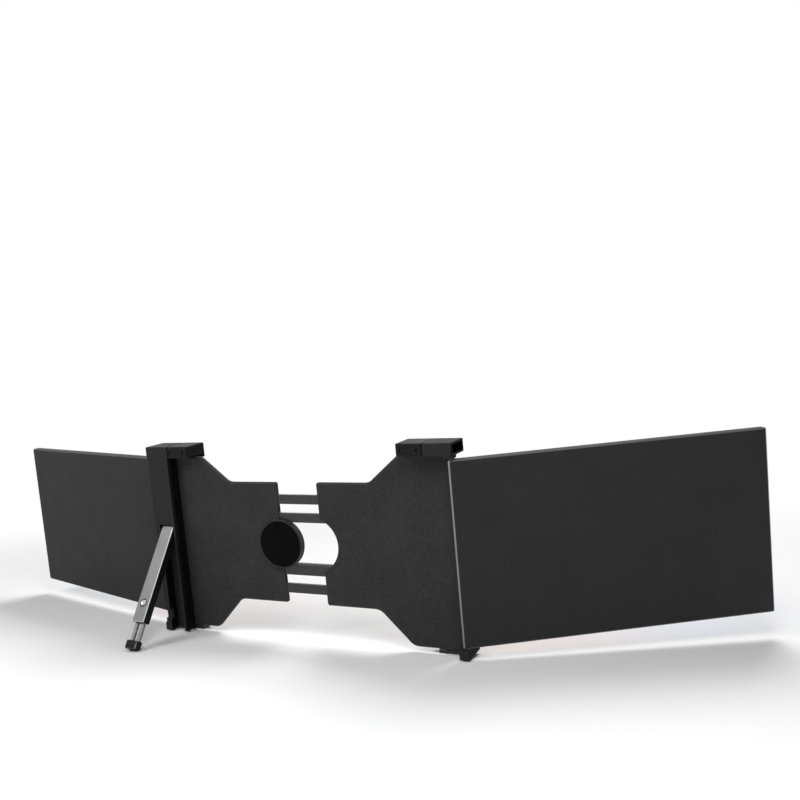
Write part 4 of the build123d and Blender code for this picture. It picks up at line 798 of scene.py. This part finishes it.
low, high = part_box("hub_cap")
disc = turned(crowned_profile((high.x - low.x) / 2, 0.0, high.y - low.y + DISC_PROUD,
                              DISC_CROWN, DISC_RIM))
disc.transform(Matrix.Translation(((low.x + high.x) / 2, low.y, (low.z + high.z) / 2))
               @ UP_TO_REAR)
new_piece("hub_disc", disc, "right_frame", hub_gloss, "hub_gloss", "hub_cap", smooth=60.0)

# %% [markdown]
# ## The kickstand's strip, release button and boot
# The silver strip is a stamped plate: its upper corners are round, it rolls over the bar's head,
# and its cut rim is painted bright as a highlight. The button has a finger dish, so light runs
# round its rim. The boot is a rubber block whose upright edges are crisp, their chamfers painted
# with a highlight. They could be edited copies of the CAD solids, but those are loose triangles,
# so new shapes are cleaner. All three are drawn upright round the pin that the kickstand swings
# on, and then swung out with it.

# %% Kickstand strip
pin_low, pin_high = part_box("kickstand_pin")
IN_STAND = (Matrix.Translation((pin_low + pin_high) / 2)
            @ Matrix.Rotation(STAND_ANGLE, 4, "X"))
STAND_WIDTH = 16.0 * MM
STAND_LENGTH = 110.0 * MM
STAND_HEAD = 5.25 * MM      # radius of the bar's round head, so also its rear face
STRIP_THICKNESS = 1.2 * MM
STRIP_CORNER = 3.0 * MM
STRIP_CUT = 0.7 * MM
STRIP_TOP = 3.25 * MM
ROLL_CUTS = [level * MM for level in (-0.1, 0.5, 1.0, 1.5, 2.0, 2.4, 2.8)]
RELEASE_HEIGHT = -89.0 * MM
RING_HOLE = 4.65 * MM       # radius


def stand_strip():
    """A plate with a cut rim and a hole, thickened and then rolled over at the top."""
    mesh = bmesh.new()
    inner = STAND_HEAD - STRIP_THICKNESS
    corners = [mesh.verts.new((x, STAND_HEAD, z)) for x, z in (
        (-STAND_WIDTH / 2, -STAND_LENGTH), (STAND_WIDTH / 2, -STAND_LENGTH),
        (STAND_WIDTH / 2, STRIP_TOP), (-STAND_WIDTH / 2, STRIP_TOP))]
    mesh.faces.new(corners)
    bmesh.ops.bevel(mesh, geom=corners[2:], affect="VERTICES", offset=STRIP_CORNER, segments=8,
                    profile=0.5, material=-1)
    outer = mesh.verts[:]
    bmesh.ops.inset_region(mesh, faces=mesh.faces[:], thickness=STRIP_CUT, use_even_offset=True,
                           use_boundary=True)
    bmesh.ops.translate(mesh, verts=outer, vec=(0, -STRIP_CUT, 0))
    middle = max(mesh.faces, key=lambda face: face.calc_area())
    outline = list(middle.edges)
    bmesh.ops.delete(mesh, geom=[middle], context="FACES_ONLY")
    place = (Matrix.Translation((0, STAND_HEAD, RELEASE_HEIGHT))
             @ Matrix.Rotation(math.radians(90.0), 4, "X"))
    hole = bmesh.ops.create_circle(mesh, segments=48, radius=RING_HOLE, matrix=place)["verts"]
    bmesh.ops.triangle_fill(mesh, use_beauty=True, edges=outline + ring_of(hole))
    for level in ROLL_CUTS:
        bmesh.ops.bisect_plane(mesh, geom=mesh.verts[:] + mesh.edges[:] + mesh.faces[:],
                               plane_co=(0, 0, level), plane_no=(0, 0, 1))
    for vert in new_corners(bmesh.ops.extrude_face_region(mesh, geom=mesh.faces[:])):
        vert.co.y = inner
    for vert in mesh.verts:
        if vert.co.z > 0:
            drop = STAND_HEAD - math.sqrt(STAND_HEAD ** 2 - vert.co.z ** 2)
            vert.co.y -= drop * (vert.co.y - inner) / STRIP_THICKNESS
    bmesh.ops.recalc_face_normals(mesh, faces=mesh.faces)
    mesh.transform(IN_STAND)
    return mesh


new_piece("stand_strip", stand_strip(), "kickstand_arm", silver, "stand_silver",
          "kickstand_face", smooth=20.0)

# %% Release button
# (radius, height above the bar's middle) in millimetres, from the axis out and back to it
DISH = [(0.0, 2.62), (4.3, 2.62), (4.3, 3.35), (3.35, 3.35), (3.35, 5.35), (3.28, 5.58),
        (3.08, 5.74), (2.80, 5.81), (2.52, 5.78), (2.28, 5.68), (1.90, 5.56), (1.40, 5.48),
        (0.70, 5.44), (0.0, 5.43)]
button = turned([(radius * MM, height * MM) for radius, height in DISH], steps=48)
button.transform(IN_STAND @ Matrix.Translation((0, 0, RELEASE_HEIGHT)) @ UP_TO_REAR)
new_piece("release_dish", button, "release_button", button_metal, "button_silver",
          "release_button", smooth=50.0)

# %% Rubber boot
BOOT_SIZE = Vector((15.0, 10.0, 9.0)) * MM
BOOT_MIDDLE = Vector((0.0, -0.25, -134.5)) * MM
BOOT_CHAMFER, SOLE_ROUND, COLLAR_ROUND = 1.1 * MM, 1.4 * MM, 0.35 * MM

boot = bmesh.new()
bmesh.ops.create_cube(boot, size=1.0)
bmesh.ops.scale(boot, verts=boot.verts, vec=BOOT_SIZE)
uprights = [e for e in boot.edges if abs(e.verts[0].co.z - e.verts[1].co.z) > 0.001]
bmesh.ops.bevel(boot, geom=uprights, affect="EDGES", offset=BOOT_CHAMFER, segments=1,
                profile=0.5, material=-1)
sole = [e for e in boot.edges if all(v.co.z < -0.4 * BOOT_SIZE.z for v in e.verts)]
bmesh.ops.bevel(boot, geom=sole, affect="EDGES", offset=SOLE_ROUND, segments=4,
                profile=0.5, material=-1)
collar = [e for e in boot.edges if all(v.co.z > 0.4 * BOOT_SIZE.z for v in e.verts)]
bmesh.ops.bevel(boot, geom=collar, affect="EDGES", offset=COLLAR_ROUND, segments=2,
                profile=0.5, material=-1)
boot.transform(IN_STAND @ Matrix.Translation(BOOT_MIDDLE))
new_piece("rubber_boot", boot, "kickstand_leg", foot_rubber, "foot_rubber",
          "kickstand_foot", smooth=28.0)

# %% [markdown]
# ## Soft pads on the clips
# Each clip carries a white silicone pad with a plain grey field pressed into it. Paint alone
# would look flat in a close view, so the field is a thin rounded plate let into the pad's face.

# %% Pad fields
FIELD_WIDTH_SHARE, FIELD_HEIGHT_SHARE = 0.66, 0.5     # of the pad
FIELD_THICKNESS, FIELD_CORNER = 0.3 * MM, 0.9 * MM
grey_rubber = skin("pad_field", (0.42, 0.42, 0.42), 0.5, grain=0.0006, wear=0.0,
                   shade_spread=0.05, specular=0.2)


def rounded_plate(width, height, thickness, corner):
    """A plate in the XZ plane with rounded corners and a softened front edge."""
    mesh = bmesh.new()
    bmesh.ops.create_cube(mesh, size=1.0)
    bmesh.ops.scale(mesh, verts=mesh.verts, vec=(width, thickness, height))
    upright = [e for e in mesh.edges if abs(e.verts[0].co.y - e.verts[1].co.y) > thickness / 2]
    bmesh.ops.bevel(mesh, geom=upright, affect="EDGES", offset=corner, segments=6, profile=0.5,
                    material=-1)
    front = [e for e in mesh.edges if all(v.co.y < -0.49 * thickness for v in e.verts)]
    bmesh.ops.bevel(mesh, geom=front, affect="EDGES", offset=0.3 * thickness, segments=2,
                    profile=0.5, material=-1)
    return mesh


for side in ("left", "right"):
    low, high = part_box(side + "_clip_pad")
    size = high - low
    field = rounded_plate(FIELD_WIDTH_SHARE * size.x, FIELD_HEIGHT_SHARE * size.z,
                          FIELD_THICKNESS, FIELD_CORNER)
    bmesh.ops.translate(field, verts=field.verts,
                        vec=((low.x + high.x) / 2, low.y, (low.z + high.z) / 2))
    new_piece(side + "_pad_field", field, side + "_frame", grey_rubber, "silicone_white")
